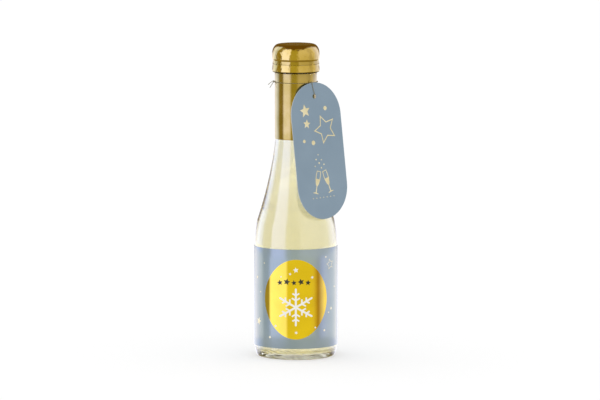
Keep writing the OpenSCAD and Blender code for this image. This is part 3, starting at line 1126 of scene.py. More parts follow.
@dataclass
class BottleForm:
    """The glass bottle's outline, from which the other pieces take their places.

    The body's side is drawn a hair inside the model's. The hollow's is uneven by waves, each with
    its depth, its pace round and up the bottle, and its shift.
    """

    body_wall: float = 2.6
    body_top: float = 69.1
    shoulder_rise: float = 19.2
    shoulder_in: float = 2.0
    body_handle_share: float = 0.44
    bend_handle_share: float = 0.093
    bend_slope_share: float = 0.32
    rise_handle_share: float = 0.282
    neck_handle_share: float = 0.326
    heel_h: float = 9.5
    heel_r: float = 25.0
    base_round: float = 2.0
    stand_w: float = 2.6
    punt_h: float = 5.0
    base_t: float = 3.2
    floor_round: float = 4.0
    neck_l: float = 49.6
    neck_wall: float = 3.45
    mouth_wall: float = 3.6
    mouth_l: float = 22.0
    finish_r: float = 12.85
    neck_step: float = 0.2
    rim_round: float = 1.2
    lip_round: float = 0.8
    ring_step: float = 0.5
    ring_h: float = 2.0
    ring_drop: float = 11.2
    thread_h: float = 0.95
    thread_pitch: float = 3.175
    thread_drop: float = 2.6
    ridge_root: float = 1.7
    ridge_crest: float = 0.8
    glass_turns: float = 1.5
    fade_share: float = 0.1
    waves: tuple[tuple[float, ...], ...] = ((0.16, 1.1, 0.028, 0.0), (0.05, 2.6, 0.05, 7.0))
    calm_z: float = 8.0
    calm_foot_h: float = 14.0
    calm_top_h: float = 25.0
    curve_steps: int = 30
    arc_steps: int = 10
    side_step: float = 4.0
    bore_step: float = 3.0
    thread_step: float = 0.2
    inside: float = 0.01

    def __post_init__(self) -> None:
        """Takes the body's radius and the height from the model, and works out the rest."""
        packed_r, _, self.glass_h = round_size("glass_bottle")
        self.body_r = packed_r - self.inside
        self.neck_r = self.finish_r + self.neck_step
        self.neck_bore_r = self.neck_r - self.neck_wall
        self.mouth_r = self.finish_r - self.mouth_wall
        self.thread_r = self.finish_r + self.thread_h
        self.ring_r = self.thread_r + self.ring_step
        self.neck_z = self.glass_h - self.neck_l
        self.mouth_foot_z = self.glass_h - self.lip_round - self.mouth_l
        self.ring_top_z = self.glass_h - self.ring_drop
        self.thread_foot_z = self.glass_h - self.thread_drop - self.glass_turns * self.thread_pitch
        self.shoulder = self._shoulder()

    def _shoulder(self) -> Profile:
        """Shapes the outside from the body's top up to the straight neck.

        Returns:
            The outline's points.
        """
        bend_z = self.body_top + self.shoulder_rise
        bend_r = self.body_r - self.shoulder_in
        bend_handle = self.bend_handle_share * self.shoulder_rise
        rise = self.neck_z - bend_z
        rise_handle = self.rise_handle_share * rise
        lower = bezier(
            (self.body_r, self.body_top),
            (self.body_r, self.body_top + self.body_handle_share * self.shoulder_rise),
            (bend_r + self.bend_slope_share * bend_handle, bend_z - bend_handle),
            (bend_r, bend_z),
            self.curve_steps,
        )
        upper = bezier(
            (bend_r, bend_z),
            (bend_r - self.bend_slope_share * rise_handle, bend_z + rise_handle),
            (self.neck_r, self.neck_z - self.neck_handle_share * rise),
            (self.neck_r, self.neck_z),
            self.curve_steps,
        )
        return lower + upper[1:]

    def radius_at(self, height: float) -> float:
        """The outside radius of the shoulder or body.

        Args:
            height: The height.

        Returns:
            The radius there.
        """
        if height <= self.body_top:
            return self.body_r
        for (low_r, low_z), (high_r, high_z) in zip(self.shoulder, self.shoulder[1:]):
            if height <= high_z:
                return low_r + (high_r - low_r) * (height - low_z) / (high_z - low_z)
        return self.neck_r

    def wall_at(self, height: float) -> float:
        """The wall of the shoulder, which grows towards the neck."""
        share = (height - self.body_top) / (self.neck_z - self.body_top)
        return self.body_wall + (self.neck_wall - self.body_wall) * share

    def heel(self) -> Profile:
        """Shapes the outside of the base, from the standing ring up to the body.

        Returns:
            The outline's points.
        """
        centre_r = self.body_r - self.heel_r
        rise = self.heel_h - self.base_round
        base_r = centre_r + math.sqrt((self.heel_r - self.base_round) ** 2 - rise ** 2)
        meet = math.degrees(math.atan2(-rise, base_r - centre_r))
        turn = arc((base_r, self.base_round), self.base_round, -90.0, meet, self.arc_steps)
        side = arc((centre_r, self.heel_h), self.heel_r, meet, 0.0, self.arc_steps)
        return turn + side[1:]

    def dome(self, radius: float, height: float) -> Profile:
        """A shallow dome, from its top in the middle out to its rim.

        Args:
            radius: The rim's radius.
            height: The rim's height.

        Returns:
            The dome's points.
        """
        ball = (radius ** 2 + self.punt_h ** 2) / (2 * self.punt_h)
        reach = math.asin(radius / ball)
        angles = [reach * i / self.arc_steps for i in range(self.arc_steps + 1)]
        top = height + self.punt_h
        return [(ball * math.sin(a), top - ball * (1 - math.cos(a))) for a in angles]

    def hollow(self, gap: float) -> Profile:
        """The hollow from the middle of its floor up to the straight neck.

        Args:
            gap: How far the outline stays off the glass; below 0 it reaches into it.

        Returns:
            The outline's points.
        """
        side_r = self.body_r - self.body_wall
        corner_r = side_r - self.floor_round
        corner = (corner_r, self.base_t + self.floor_round)
        wall = [(r - self.wall_at(z) - gap, z) for r, z in self.shoulder]
        low = (side_r - gap, corner[1])
        return [
            *self.dome(corner_r, self.base_t + gap),
            *arc(corner, self.floor_round - gap, -90.0, 0.0, self.arc_steps)[1:],
            *straight(low, wall[0], self.side_step),
            *wall,
        ]

    def ridge(self, angle: float, height: float, foot_z: float, turns: float, start: float = 0.0) -> float:
        """The share of a thread's full height at a point.

        Args:
            angle: The point's angle.
            height: The point's height.
            foot_z: The height from which the thread rises.
            turns: How many turns it runs.
            start: The part of a turn at which it starts.

        Returns:
            The share, from 0 to 1.
        """
        flank = (self.ridge_root - self.ridge_crest) / 2
        best = 0.0
        for turn in range(math.ceil(turns)):
            t = ((angle + 90.0) / 360.0 - start) % 1.0 + turn
            away = abs(height - foot_z - self.thread_pitch * t)
            full = ease(min(t, turns - t) / self.fade_share)
            best = max(best, full * ease((self.ridge_root / 2 - away) / flank))
        return best

    def ripple(self, radius: float, angle: float, height: float) -> float:
        """The hollow's uneven side, which is calm at the floor and the neck.

        Args:
            radius: A point's radius.
            angle: Its angle.
            height: Its height.

        Returns:
            Its new radius.
        """
        turn = math.radians(angle)
        x, y = math.sin(turn), math.cos(turn)
        foot = ease((height - self.calm_z) / self.calm_foot_h)
        top = ease((self.neck_z - height) / self.calm_top_h)
        for depth, around, up, shift in self.waves:
            radius += foot * top * depth * wave(around * x, around * y + shift, height * up)
        return radius


# Camera


@dataclass
class PhotoCamera:
    """The camera, which stands as the photograph's did. Pixels are of a 600 by 400 picture."""

    picture_w: float = 600.0
    focal_px: float = 6000.0
    sensor_w: float = 36.0
    distance: float = 3862.0
    look_down: float = 6.8
    axis_px: float = 295.85
    aim_z: float = 100.5

    def build(self) -> None:
        """Makes the camera."""
        data = bpy.data.cameras.new("camera")
        data.sensor_width = self.sensor_w
        data.lens = self.sensor_w * self.focal_px / self.picture_w
        data.clip_start = 0.1
        data.clip_end = 100.0
        made = linked("camera", data)
        tilt = math.radians(self.look_down)
        aside = (self.picture_w / 2 - self.axis_px) * self.distance / self.focal_px
        aim = Vector((aside, 0.0, self.aim_z))
        back = Vector((0.0, -math.cos(tilt), math.sin(tilt)))
        made.location = (aim + back * self.distance) * MM
        made.rotation_mode = "QUATERNION"
        made.rotation_quaternion = (-back).to_track_quat("-Z", "Y")
        bpy.context.scene.camera = made


# Sub-assemblies


@dataclass
class TagPlane:
    """Where the tag hangs: its plane, and the places on it counted from its hole."""

    form: BottleForm
    tag_gap: float = 0.3
    tag_t: float = 0.5
    tag_l: float = 87.8
    hole_drop: float = 8.9
    hole_shift: float = 1.3
    tag_turn: float = 42.2
    tag_askew: float = 1.3

    def __post_init__(self) -> None:
        """Leans the plane until it rests against the shoulder, as in the model."""
        cord_r, cord_low, cord_high = round_size("neck_cord")
        top_z = (cord_low + cord_high) / 2 + self.tag_gap
        foot_z = top_z - self.tag_l
        out = cord_r + self.tag_gap + self.tag_t / 2
        sleeve_z = round_size("neck_sleeve")[1]
        heights = [foot_z] + [z for _, z in self.form.shoulder if foot_z < z < sleeve_z]
        reach = self.tag_gap + self.tag_t / 2 - out
        lean = max(math.atan2(self.form.radius_at(z) + reach, top_z - z) for z in heights)
        hole_z = top_z - self.hole_drop * math.cos(lean)
        hole_out = out + self.hole_drop * math.sin(lean)
        self.matrix = (
            Matrix.Rotation(math.radians(self.tag_turn), 4, "Z")
            @ Matrix.Translation((self.hole_shift, -hole_out, hole_z))
            @ Matrix.Rotation(-lean, 4, "X")
            @ Matrix.Rotation(-math.radians(self.tag_askew), 4, "Y")
        )

    def at(self, across: float, forward: float, up: float) -> Vector:
        """A point by its place in the tag's plane.

        Args:
            across: How far to the right of the hole's centre.
            forward: How far in front of the card's middle.
            up: How far above the hole's centre.

        Returns:
            The point in the bottle's frame.
        """
        return self.matrix @ Vector((across, -forward, up))


@dataclass
class TagCord:
    """The thread: round the neck, its knot with two tails, and the loop through the tag."""

    plane: TagPlane
    cord_d: float = 0.42
    cord_gap: float = 0.1
    cord_slack: float = 0.6
    hole_d: float = 3.0
    tail_l: float = 5.0
    knot_turn: float = -88.0
    ply_share: float = 0.56
    lay_share: float = 3.6
    knot_wide_share: float = 1.1
    knot_narrow_share: float = 0.55
    knot_cord_share: float = 0.8
    tail_splay: float = 1.2
    ply_sides: int = 7
    loop_steps: int = 420
    knot_steps: int = 120
    tail_steps: int = 14
    drop_steps: int = 12
    tail_shares: tuple[tuple[Triple, ...], ...] = (
        ((0.05, 0, 0.07), (0.2, 0.02, 0.02), (0.45, 0.06, -0.17), (0.72, 0.14, -0.4)),
        ((0.05, 0.02, -0.05), (0.16, 0.1, -0.26), (0.32, 0.2, -0.5), (0.5, 0.32, -0.78)),
    )

    def build(self) -> None:
        """Makes the three pieces of thread."""
        self._neck_loop()
        self._knot()
        self._drop()

    def _twist(self, solid: Solid, route: Sequence[Vector], diameter: float, splay: float = 1.0) -> None:
        """Adds two strands that are laid round each other.

        Args:
            solid: The mesh that takes them.
            route: The cord's middle.
            diameter: The cord's diameter.
            splay: How many times further apart the strands end than they start.
        """
        ply_r = diameter * self.ply_share / 2
        off = diameter / 2 - ply_r
        rings, runs = framed(route)
        for start in (0.0, math.pi):
            path = []
            for (middle, normal, other), run in zip(rings, runs):
                turn = start + 2 * math.pi * run / (diameter * self.lay_share)
                open_out = off * (1 + (splay - 1) * ease(3 * run / runs[-1] - 2))
                path.append(middle + (normal * math.cos(turn) + other * math.sin(turn)) * open_out)
            solid.strand(path, ply_r, self.ply_sides)

    def _neck_loop(self) -> None:
        """Lays the thread round the sleeve, from one side of the knot to the other."""
        _, low, high = round_size("neck_cord")
        radius = round_size("neck_sleeve")[0] + self.cord_gap + self.cord_d / 2
        height = (low + high) / 2
        reach = self.knot_wide_share + self.knot_narrow_share + self.knot_cord_share / 2
        gap = math.degrees(math.asin((self.cord_d * reach + self.cord_gap) / radius))
        start = self.knot_turn + gap
        step = (360.0 - 2 * gap) / self.loop_steps
        route = [polar(radius, start + step * i, height) for i in range(self.loop_steps + 1)]
        loop = Solid()
        self._twist(loop, route, self.cord_d)
        loop.piece("neck_cord_thread", "cord_loop", "cord_thread", [GoldThread()], ["neck_cord"])

    def _knot(self) -> None:
        """Ties the knot flat against the sleeve, with two cut tails."""
        sleeve_r = round_size("neck_sleeve")[0]
        _, low, high = round_size("neck_cord")
        wide = self.cord_d * self.knot_wide_share
        narrow = self.cord_d * self.knot_narrow_share
        cord = self.cord_d * self.knot_cord_share
        out = sleeve_r + self.cord_gap + narrow + cord / 2
        turn = Matrix.Rotation(math.radians(self.knot_turn - 90.0), 4, "Z")

        def placed(point: Sequence[float]) -> Vector:
            """A point of the knot, given outwards, sideways and up from its middle."""
            return turn @ Vector((out + point[0], point[1], (low + high) / 2 + point[2]))

        knot = Solid()
        loop = []
        for i in range(self.knot_steps + 1):
            a = 2 * math.pi * i / self.knot_steps
            ring_r = wide + narrow * math.cos(3 * a)
            spot = (narrow * math.sin(3 * a), ring_r * math.cos(2 * a), ring_r * math.sin(2 * a))
            loop.append(placed(spot))
        self._twist(knot, loop, cord)
        for shares in self.tail_shares:
            points = [placed([self.tail_l * s for s in share]) for share in shares]
            self._twist(knot, smoothed(points, self.tail_steps), self.cord_d, self.tail_splay)
        knot.piece("cord_knot_thread", "cord_loop", "cord_thread", [GoldThread()], ["cord_knot"])

    def _drop(self) -> None:
        """Leads the thread over the tag's top, down its face, through the hole and up its back."""
        front = self.plane.tag_t / 2 + self.cord_gap + self.cord_d / 2
        hole_top = self.hole_d / 2 - self.cord_gap - self.cord_d / 2
        drop, shift, d = self.plane.hole_drop, self.plane.hole_shift, self.cord_d
        top = drop + self.cord_slack + d / 2
        route = [
            (-shift, 0.0, top),
            (-shift, front * 3 / 4, top - d / 10),
            (-shift, front, top - d / 2),
            (-shift, front, drop - d),
            (-shift / 2, front, drop / 2),
            (0.0, front, hole_top + d),
            (0.0, front * 3 / 4, hole_top + d / 4),
            (0.0, 0.0, hole_top),
            (0.0, -front * 3 / 4, hole_top + d / 4),
            (0.0, -front, hole_top + d),
            (-shift / 2, -front, drop / 2),
            (-shift, -front, drop - 3 / 2 * d),
        ]
        cord = Solid()
        self._twist(cord, smoothed([self.plane.at(*p) for p in route], self.drop_steps), d)
        cord.piece("tag_cord_thread", "tag_drop", "cord_thread", [GoldThread()], ["tag_cord"])


@dataclass
class GlassBottle:
    """The glass, with its thread, its punt and the stippled ring that it stands on."""

    form: BottleForm
    steps: int = 288
    notch_depth: float = 0.28
    notch_every: int = 4
    notch_in: float = 0.4
    notch_out: float = 0.15
    stand_step: float = 0.5
    seam_height: float = 0.05
    seam_turn: float = 0.1
    ring_round: float = 0.3
    skin: float = 0.1
    wall_least: float = 1.0

    def build(self) -> None:
        """Makes the glass."""
        form = self.form
        heel = form.heel()
        neck_in = (form.neck_bore_r, form.neck_z)
        mouth_in = (form.mouth_r, form.mouth_foot_z)
        lip_low = (form.mouth_r, form.glass_h - form.lip_round)
        rim_z = form.glass_h - form.rim_round
        rim = arc((form.finish_r - form.rim_round, rim_z), form.rim_round, 0.0, 90.0, 8)
        lip = arc((form.mouth_r + form.lip_round, lip_low[1]), form.lip_round, 90.0, 180.0, 6)
        stand_in = (heel[0][0] - form.stand_w, 0.0)
        outline = [
            *form.dome(stand_in[0], 0.0),
            *straight(stand_in, heel[0], self.stand_step),
            *heel,
            *straight(heel[-1], form.shoulder[0], form.side_step),
            *form.shoulder,
            *self._ring(),
            *straight((form.finish_r, form.ring_top_z), rim[0], form.thread_step),
            *rim,
            *lip,
            *straight(lip_low, mouth_in, form.bore_step),
            mouth_in,
            *straight(mouth_in, neck_in, form.bore_step),
            *form.hollow(0.0)[::-1],
        ]
        glass = Solid()
        glass.revolve(outline, self.steps, self._warp)
        glass.points = [self._stipple(p, heel[0][0]) for p in glass.points]
        glass.piece("bottle_glass", "bottle", "glass", [ClearGlass()], ["glass_bottle"])

    def _ring(self) -> Profile:
        """Shapes the ring under the thread, from the neck up, with softened corners.

        Returns:
            The outline's points.
        """
        form = self.form
        flank = (form.ring_r - form.finish_r) / 2
        beyond = 1.0
        corners = [
            (form.neck_r, form.ring_top_z - form.ring_h - 2 * flank - beyond),
            (form.neck_r, form.ring_top_z - form.ring_h - flank),
            (form.ring_r, form.ring_top_z - form.ring_h),
            (form.ring_r, form.ring_top_z - flank),
            (form.finish_r, form.ring_top_z),
            (form.finish_r, form.ring_top_z + beyond),
        ]
        made = rounded(corners, self.ring_round)
        each = len(made) // len(corners)
        return [*made[each:-2 * each], (form.finish_r, form.ring_top_z)]

    def _warp(self, radius: float, angle: float, height: float) -> float:
        """Adds the thread, the mould seams and the hollow's unevenness.

        Args:
            radius: A point's radius.
            angle: Its angle.
            height: Its height.

        Returns:
            Its new radius.
        """
        form = self.form
        outer = form.radius_at(height)
        if height < form.neck_z:
            if radius < outer - self.wall_least:
                return form.ripple(radius, angle, height)
            seam = angle % 180.0 < self.seam_turn
            return radius - (0.0 if seam and height > form.heel_h else self.seam_height)
        if radius < form.finish_r - self.skin or height < form.ring_top_z:
            return radius
        return radius + form.thread_h * form.ridge(angle, height, form.thread_foot_z, form.glass_turns)

    def _stipple(self, point: Vector, outer_r: float) -> Vector:
        """Lifts a point of the standing ring where a notch is.

        Args:
            point: Any point of the glass.
            outer_r: The ring's outer radius.

        Returns:
            Where the point goes.
        """
        form = self.form
        radius = math.hypot(point.x, point.y)
        inner_r = outer_r - form.stand_w
        on_ring = inner_r + self.notch_in < radius < outer_r - self.notch_out
        if not on_ring or point.z > form.base_t / 2:
            return point
        turn = math.degrees(math.atan2(point.x, -point.y)) * self.steps / 360.0
        notched = round(turn) % self.notch_every < self.notch_every / 2
        return Vector((point.x, point.y, point.z + (self.notch_depth if notched else 0.0)))


@dataclass
class Wine:
    """The wine, which reaches a hair into the glass so that no air shows between them."""

    form: BottleForm
    overlap: float = 0.03
    meniscus_h: float = 1.1
    meniscus_w: float = 2.4
    meniscus_fall: float = 1.6
    meniscus_steps: int = 14
    side_w: float = 6.0
    steps: int = 192

    def build(self) -> None:
        """Makes the wine."""
        form = self.form
        level = round_size("wine")[2]
        share = (level - form.neck_z) / (form.mouth_foot_z - form.neck_z)
        edge_r = form.neck_bore_r + (form.mouth_r - form.neck_bore_r) * share + self.overlap
        side = form.hollow(-self.overlap)
        low = level - self.meniscus_h
        surface = []
        for i in range(self.meniscus_steps + 1):
            t = i / self.meniscus_steps
            climb = math.exp(-t * self.meniscus_w * self.meniscus_fall)
            surface.append((edge_r - self.meniscus_w * t, low + self.meniscus_h * climb))
        outline = [*side, *straight(side[-1], surface[0], form.bore_step), *surface, (0.0, low)]
        wine = Solid()
        wine.revolve(outline, self.steps, self._warp)
        wine.piece("wine_fill", "bottle", "wine", [PaleWine()], ["wine"])

    def _warp(self, radius: float, angle: float, height: float) -> float:
        """Follows the glass's uneven side.

        Args:
            radius: A point's radius.
            angle: Its angle.
            height: Its height.

        Returns:
            Its new radius.
        """
        inner = self.form.radius_at(height) - self.form.wall_at(max(height, self.form.body_top))
        near = height < self.form.neck_z and radius > inner - self.side_w
        return self.form.ripple(radius, angle, height) if near else radius


@dataclass
class ScrewCap:
    """The cap: its gold shell, the threaded insert inside it and the sealing liner."""

    form: BottleForm
    metal_t: float = 0.25
    cap_gap: float = 0.05
    cap_bulge: float = 0.4
    bulge_h: float = 1.4
    waist_h: float = 1.3
    skirt_flare: float = 0.08
    skirt_h: float = 0.6
    edge_w: float = 4.3
    edge_h: float = 6.8
    liner_gap: float = 0.2
    insert_lift: float = 0.2
    thread_gap: float = 0.3
    cap_turns: float = 1.15
    cap_thread_start: float = 0.65
    press_in: float = 9.6
    press_out: float = 12.3
    press_slope: float = 0.4
    press_edge: float = 0.01
    press_depth: float = 0.12
    liner_bevel: float = 0.1
    steps: int = 240
    insert_steps: int = 192
    liner_steps: int = 144
    edge_steps: int = 18

    def __post_init__(self) -> None:
        """Takes the cap's radius and heights from the model."""
        self.cap_r, self.cap_z, self.top_z = round_size("cap_shell")
        self.waist_r = self.cap_r - self.cap_bulge
        self.skirt_r = self.waist_r + self.skirt_flare

    def outline(self, inset: float, foot_z: float) -> Profile:
        """The cap's outline from its lower edge to the flat of its top.

        Args:
            inset: How far it is drawn in all over.
            foot_z: The height of its lower edge.

        Returns:
            The outline's points.
        """
        waist_z = self.cap_z + self.skirt_h
        bulge_z = waist_z + self.waist_h
        edge = []
        for i in range(self.edge_steps + 1):
            a = math.pi / 2 * i / self.edge_steps
            across = self.cap_r - self.edge_w + (self.edge_w - inset) * math.cos(a)
            edge.append((across, self.top_z - self.edge_h + (self.edge_h - inset) * math.sin(a)))
        return [
            *flare((self.skirt_r - inset, foot_z), (self.waist_r - inset, waist_z), 6),
            *flare((self.waist_r - inset, bulge_z), (self.cap_r - inset, bulge_z + self.bulge_h), 12),
            *edge,
        ]

    def build(self) -> None:
        """Makes the shell, the insert and the liner."""
        self._shell()
        self._insert()
        self._liner()

    def _shell(self) -> None:
        """Draws the shell from thin metal."""
        outer = self.outline(0.0, self.cap_z)
        inner = self.outline(self.metal_t, self.cap_z)
        top = [(0.0, self.top_z), (0.0, self.top_z - self.metal_t)]
        flat = straight(outer[-1], top[0], 2.0)
        under = straight(top[1], inner[-1], 2.0)
        shell = Solid()
        shell.revolve([*outer, *flat, *top, *under, *inner[::-1]], self.steps)
        shell.piece("cap_metal", "cap", "gold_metal", [GoldMetal()], ["cap_shell"])

    def _insert(self) -> None:
        """Moulds the insert, with the thread that runs round inside it."""
        form = self.form
        liner_r, _, liner_top = round_size("sealing_liner")
        inset = self.metal_t + self.cap_gap
        foot_z = self.cap_z + self.insert_lift
        bore_r = form.thread_r + self.thread_gap
        seat_r = liner_r + self.liner_gap
        seat_z = liner_top + self.cap_gap
        step_z = form.glass_h - form.rim_round / 2
        outline = [
            *self.outline(inset, foot_z),
            (0.0, self.top_z - inset),
            (0.0, seat_z),
            (seat_r, seat_z),
            (seat_r, step_z),
            (bore_r, step_z - bore_r + seat_r),
            *straight((bore_r, step_z - bore_r + seat_r), (bore_r, foot_z), form.thread_step),
            (bore_r, foot_z),
        ]
        foot = form.thread_foot_z + form.thread_pitch * (self.cap_thread_start - 0.5)
        depth = bore_r - form.finish_r - self.thread_gap

        def warp(radius: float, angle: float, height: float) -> float:
            """Draws the bore in where the thread runs.

            Args:
                radius: A point's radius.
                angle: Its angle.
                height: Its height.

            Returns:
                Its new radius.
            """
            if abs(radius - bore_r) > TINY:
                return radius
            best = form.ridge(angle, height, foot, self.cap_turns, self.cap_thread_start)
            return radius - depth * best

        insert = Solid()
        insert.revolve(outline, self.insert_steps, warp)
        insert.piece("cap_insert", "cap", "insert_plastic", [MouldedPlastic()], ["thread_insert"])

    def _liner(self) -> None:
        """Cuts the liner, with the mark that the glass's rim has pressed into it."""
        radius, low, high = round_size("sealing_liner")
        pressed_z = low + self.press_depth
        bevel = self.liner_bevel
        outline = [
            (0.0, low),
            *arc((self.press_in, low), self.press_edge, 180.0, 90.0, 2),
            *flare((self.press_in, low), (self.press_in + self.press_slope, pressed_z), 4),
            *flare((self.press_out - self.press_slope, pressed_z), (self.press_out, low), 4),
            (radius - bevel, low),
            (radius, low + bevel),
            (radius, high - bevel),
            (radius - bevel, high),
            (0.0, high),
        ]
        liner = Solid()
        liner.revolve(outline, self.liner_steps)
        liner.piece("liner_disc", "liner", "liner_foam", [LinerFoam()], ["sealing_liner"])


@dataclass
class TamperBand:
    """The ring that stays on the neck, with the small bridges in the narrow tear line."""

    cap: ScrewCap
    tear_gap: float = 0.15
    bridge_gap: float = 0.05
    bridge_w: float = 0.8
    bridges: int = 8
    bridge_share: float = 0.6
    bridge_round: float = 0.03
    band_round: float = 1.0
    hook_reach: float = 0.35

    def build(self) -> None:
        """Makes the band."""
        band_r, foot_z, _ = round_size("tamper_band")
        top_z = self.cap.cap_z - self.tear_gap
        metal = self.cap.metal_t
        hook_r = self.cap.form.ring_r - self.hook_reach

        def outline(inset: float) -> Profile:
            """The band's outline from its upper edge to its lip.

            Args:
                inset: How far it is drawn in all over.

            Returns:
                The outline's points.
            """
            turn_in = (band_r - self.band_round, foot_z + self.band_round)
            return [
                *flare((band_r - inset, turn_in[1]), (self.cap.skirt_r - inset, top_z), 14)[::-1],
                *arc(turn_in, self.band_round - inset, 0.0, -90.0, 10)[1:],
                (hook_r, foot_z + inset),
            ]

        band = Solid()
        band.revolve([*outline(0.0), *outline(metal)[::-1]], self.cap.steps)
        thick = metal * self.bridge_share
        middle = self.cap.skirt_r - metal / 2
        low = (middle - thick / 2, top_z - thick)
        high = (middle + thick / 2, top_z + self.tear_gap - self.bridge_gap)
        section = rounded([low, (high[0], low[1]), high, (low[0], high[1])], self.bridge_round, 2)
        half = math.degrees(self.bridge_w / middle) / 2
        for i in range(self.bridges):
            angle = 90.0 + 360.0 * i / self.bridges
            band.revolve(section, 6, span=(angle, angle + 2 * half))
        band.piece("tamper_band_metal", "bottle", "gold_metal", [GoldMetal()], ["tamper_band"])


@dataclass
class NeckSleeve:
    """The foil sleeve, wrapped round the neck with a lap at the back."""

    sleeve_t: float = 0.25
    end_round: float = 0.1
    end_h: float = 1.2
    crease: float = 0.05
    crease_around: float = 2.4
    crease_up: float = 0.03
    nick_share: float = 0.3
    nick_end_share: float = 0.4
    nick_around: float = 8.4
    nick_up: float = 0.02
    nick_shift: float = 9.0
    lap_w: float = 22.0
    lap_turn: float = 172.0
    lap_slope: float = 1.5
    lap_t: float = 0.05
    mesh_step: float = 1.5
    steps: int = 288

    def build(self) -> None:
        """Makes the sleeve."""
        outer, low, high = round_size("neck_sleeve")
        inner = outer - self.sleeve_t
        corners = [(outer, low), (outer, high), (inner, high), (inner, low)]
        ends = rounded(corners, self.end_round, 3)
        outline = []
        for i, point in enumerate(ends):
            outline.append(point)
            following = ends[(i + 1) % len(ends)]
            outline.extend(straight(point, following, self.mesh_step))

        def warp(radius: float, angle: float, height: float) -> float:
            """Presses creases, finer nicks and the lap's step into the foil.

            Args:
                radius: A point's radius.
                angle: Its angle.
                height: Its height.

            Returns:
                Its new radius.
            """
            if radius < inner + self.end_round:
                return radius
            turn = math.radians(angle)
            x, y = math.sin(turn), math.cos(turn)
            wide, fine = self.crease_around, self.nick_around
            dent = (1 + wave(x * wide, y * wide, height * self.crease_up)) / 2
            nick = (1 + wave(x * fine, y * fine, height * self.nick_up + self.nick_shift)) / 2
            end = math.exp((low - height) / self.end_h) + math.exp((height - high) / self.end_h)
            pressed = dent + (self.nick_share + self.nick_end_share * end) * nick
            past = (angle - self.lap_turn) % 360.0
            lap = ease(past / self.lap_slope) * ease((self.lap_w - past) / self.lap_slope)
            return radius - self.crease * pressed - self.lap_t * (1 - lap)

        sleeve = Solid()
        sleeve.revolve(outline, self.steps, warp)
        sleeve.piece("neck_sleeve_foil", "bottle", "sleeve_foil", [SleeveFoil()], ["neck_sleeve"])


class Motif(Enum):
    """A printed shape."""

    DOT = "dot"
    STAR = "star"
    SPARK = "spark"
    STAR_LINE = "star line"

    def at(self, *spots: tuple[float, ...]) -> tuple["Print", ...]:
        """Prints of this motif, each from its place across and up, its radius and its turn."""
        return tuple(Print(self, *spot) for spot in spots)


# Each star's number of points, and the share of its radius at which its inner corners lie
STARS = {Motif.STAR: (5, 0.46), Motif.SPARK: (6, 0.42), Motif.STAR_LINE: (5, 0.5)}
# The inside of an outlined star, as a share of its radius
LINE_INNER = 0.85


@dataclass(frozen=True)
class Print:
    """A small print: its motif, its place, its radius and how far it is turned."""

    motif: Motif
    across: float
    up: float
    radius: float
    turn: float = 0.0

    def loops(self) -> list[Profile]:
        """Draws the shape round its middle.

        Returns:
            Its outline and holes.
        """
        if self.motif is Motif.DOT:
            return [circle(self.radius, 24)]
        points, waist = STARS[self.motif]
        sizes = (1.0, LINE_INNER) if self.motif is Motif.STAR_LINE else (1.0,)
        return [star_loop(points, self.radius * size, waist, self.turn) for size in sizes]

    def placed(self) -> list[Profile]:
        """The shape's outline and holes, at its place."""
        return [moved(loop, self.across, self.up) for loop in self.loops()]


def star_loop(points: int, radius: float, waist: float, turn: float) -> Profile:
    """The outline of a star.

    Args:
        points: How many points it has.
        radius: The distance of its points from its middle.
        waist: The share of the radius at which its inner corners lie.
        turn: How far it is turned, in degrees.

    Returns:
        The outline.
    """
    made = []
    for i in range(2 * points):
        a = math.radians(90.0 + turn + 180.0 * i / points)
        r = radius * (waist if i % 2 else 1.0)
        made.append((r * math.cos(a), r * math.sin(a)))
    return made


def snowflake_loop(radius: float, half_w: float, branches: Sequence[Pair], branch_share: float) -> Profile:
    """The outline of a snowflake with six arms.

    Args:
        radius: The length of an arm.
        half_w: Half an arm's width.
        branches: The place on the arm and the length of each pair of branches, as shares.
        branch_share: A branch's width, as a share of the arm's.

    Returns:
        The outline.
    """
    thin = half_w * branch_share
    lean = math.radians(60.0)
    along, aside = math.cos(lean), math.sin(lean)
    side = [(half_w / math.tan(math.radians(30.0)), -half_w)]
    for place, length in branches:
        root, tip = place * radius, length * radius
        near = (half_w - along * thin) / aside
        far = (half_w + along * thin) / aside
        side.append((root - aside * thin + along * near, -half_w))
        side.append((root - aside * thin + along * tip, -along * thin - aside * tip))
        side.append((root + aside * thin + along * tip, along * thin - aside * tip))
        side.append((root + aside * thin + along * far, -half_w))
    side.append((radius - half_w, -half_w))
    arm = [*side, (radius, 0.0), *[(u, -v) for u, v in side[1:][::-1]]]
    return [point for k in range(6) for point in turned(arm, 30.0 + 60.0 * k)]


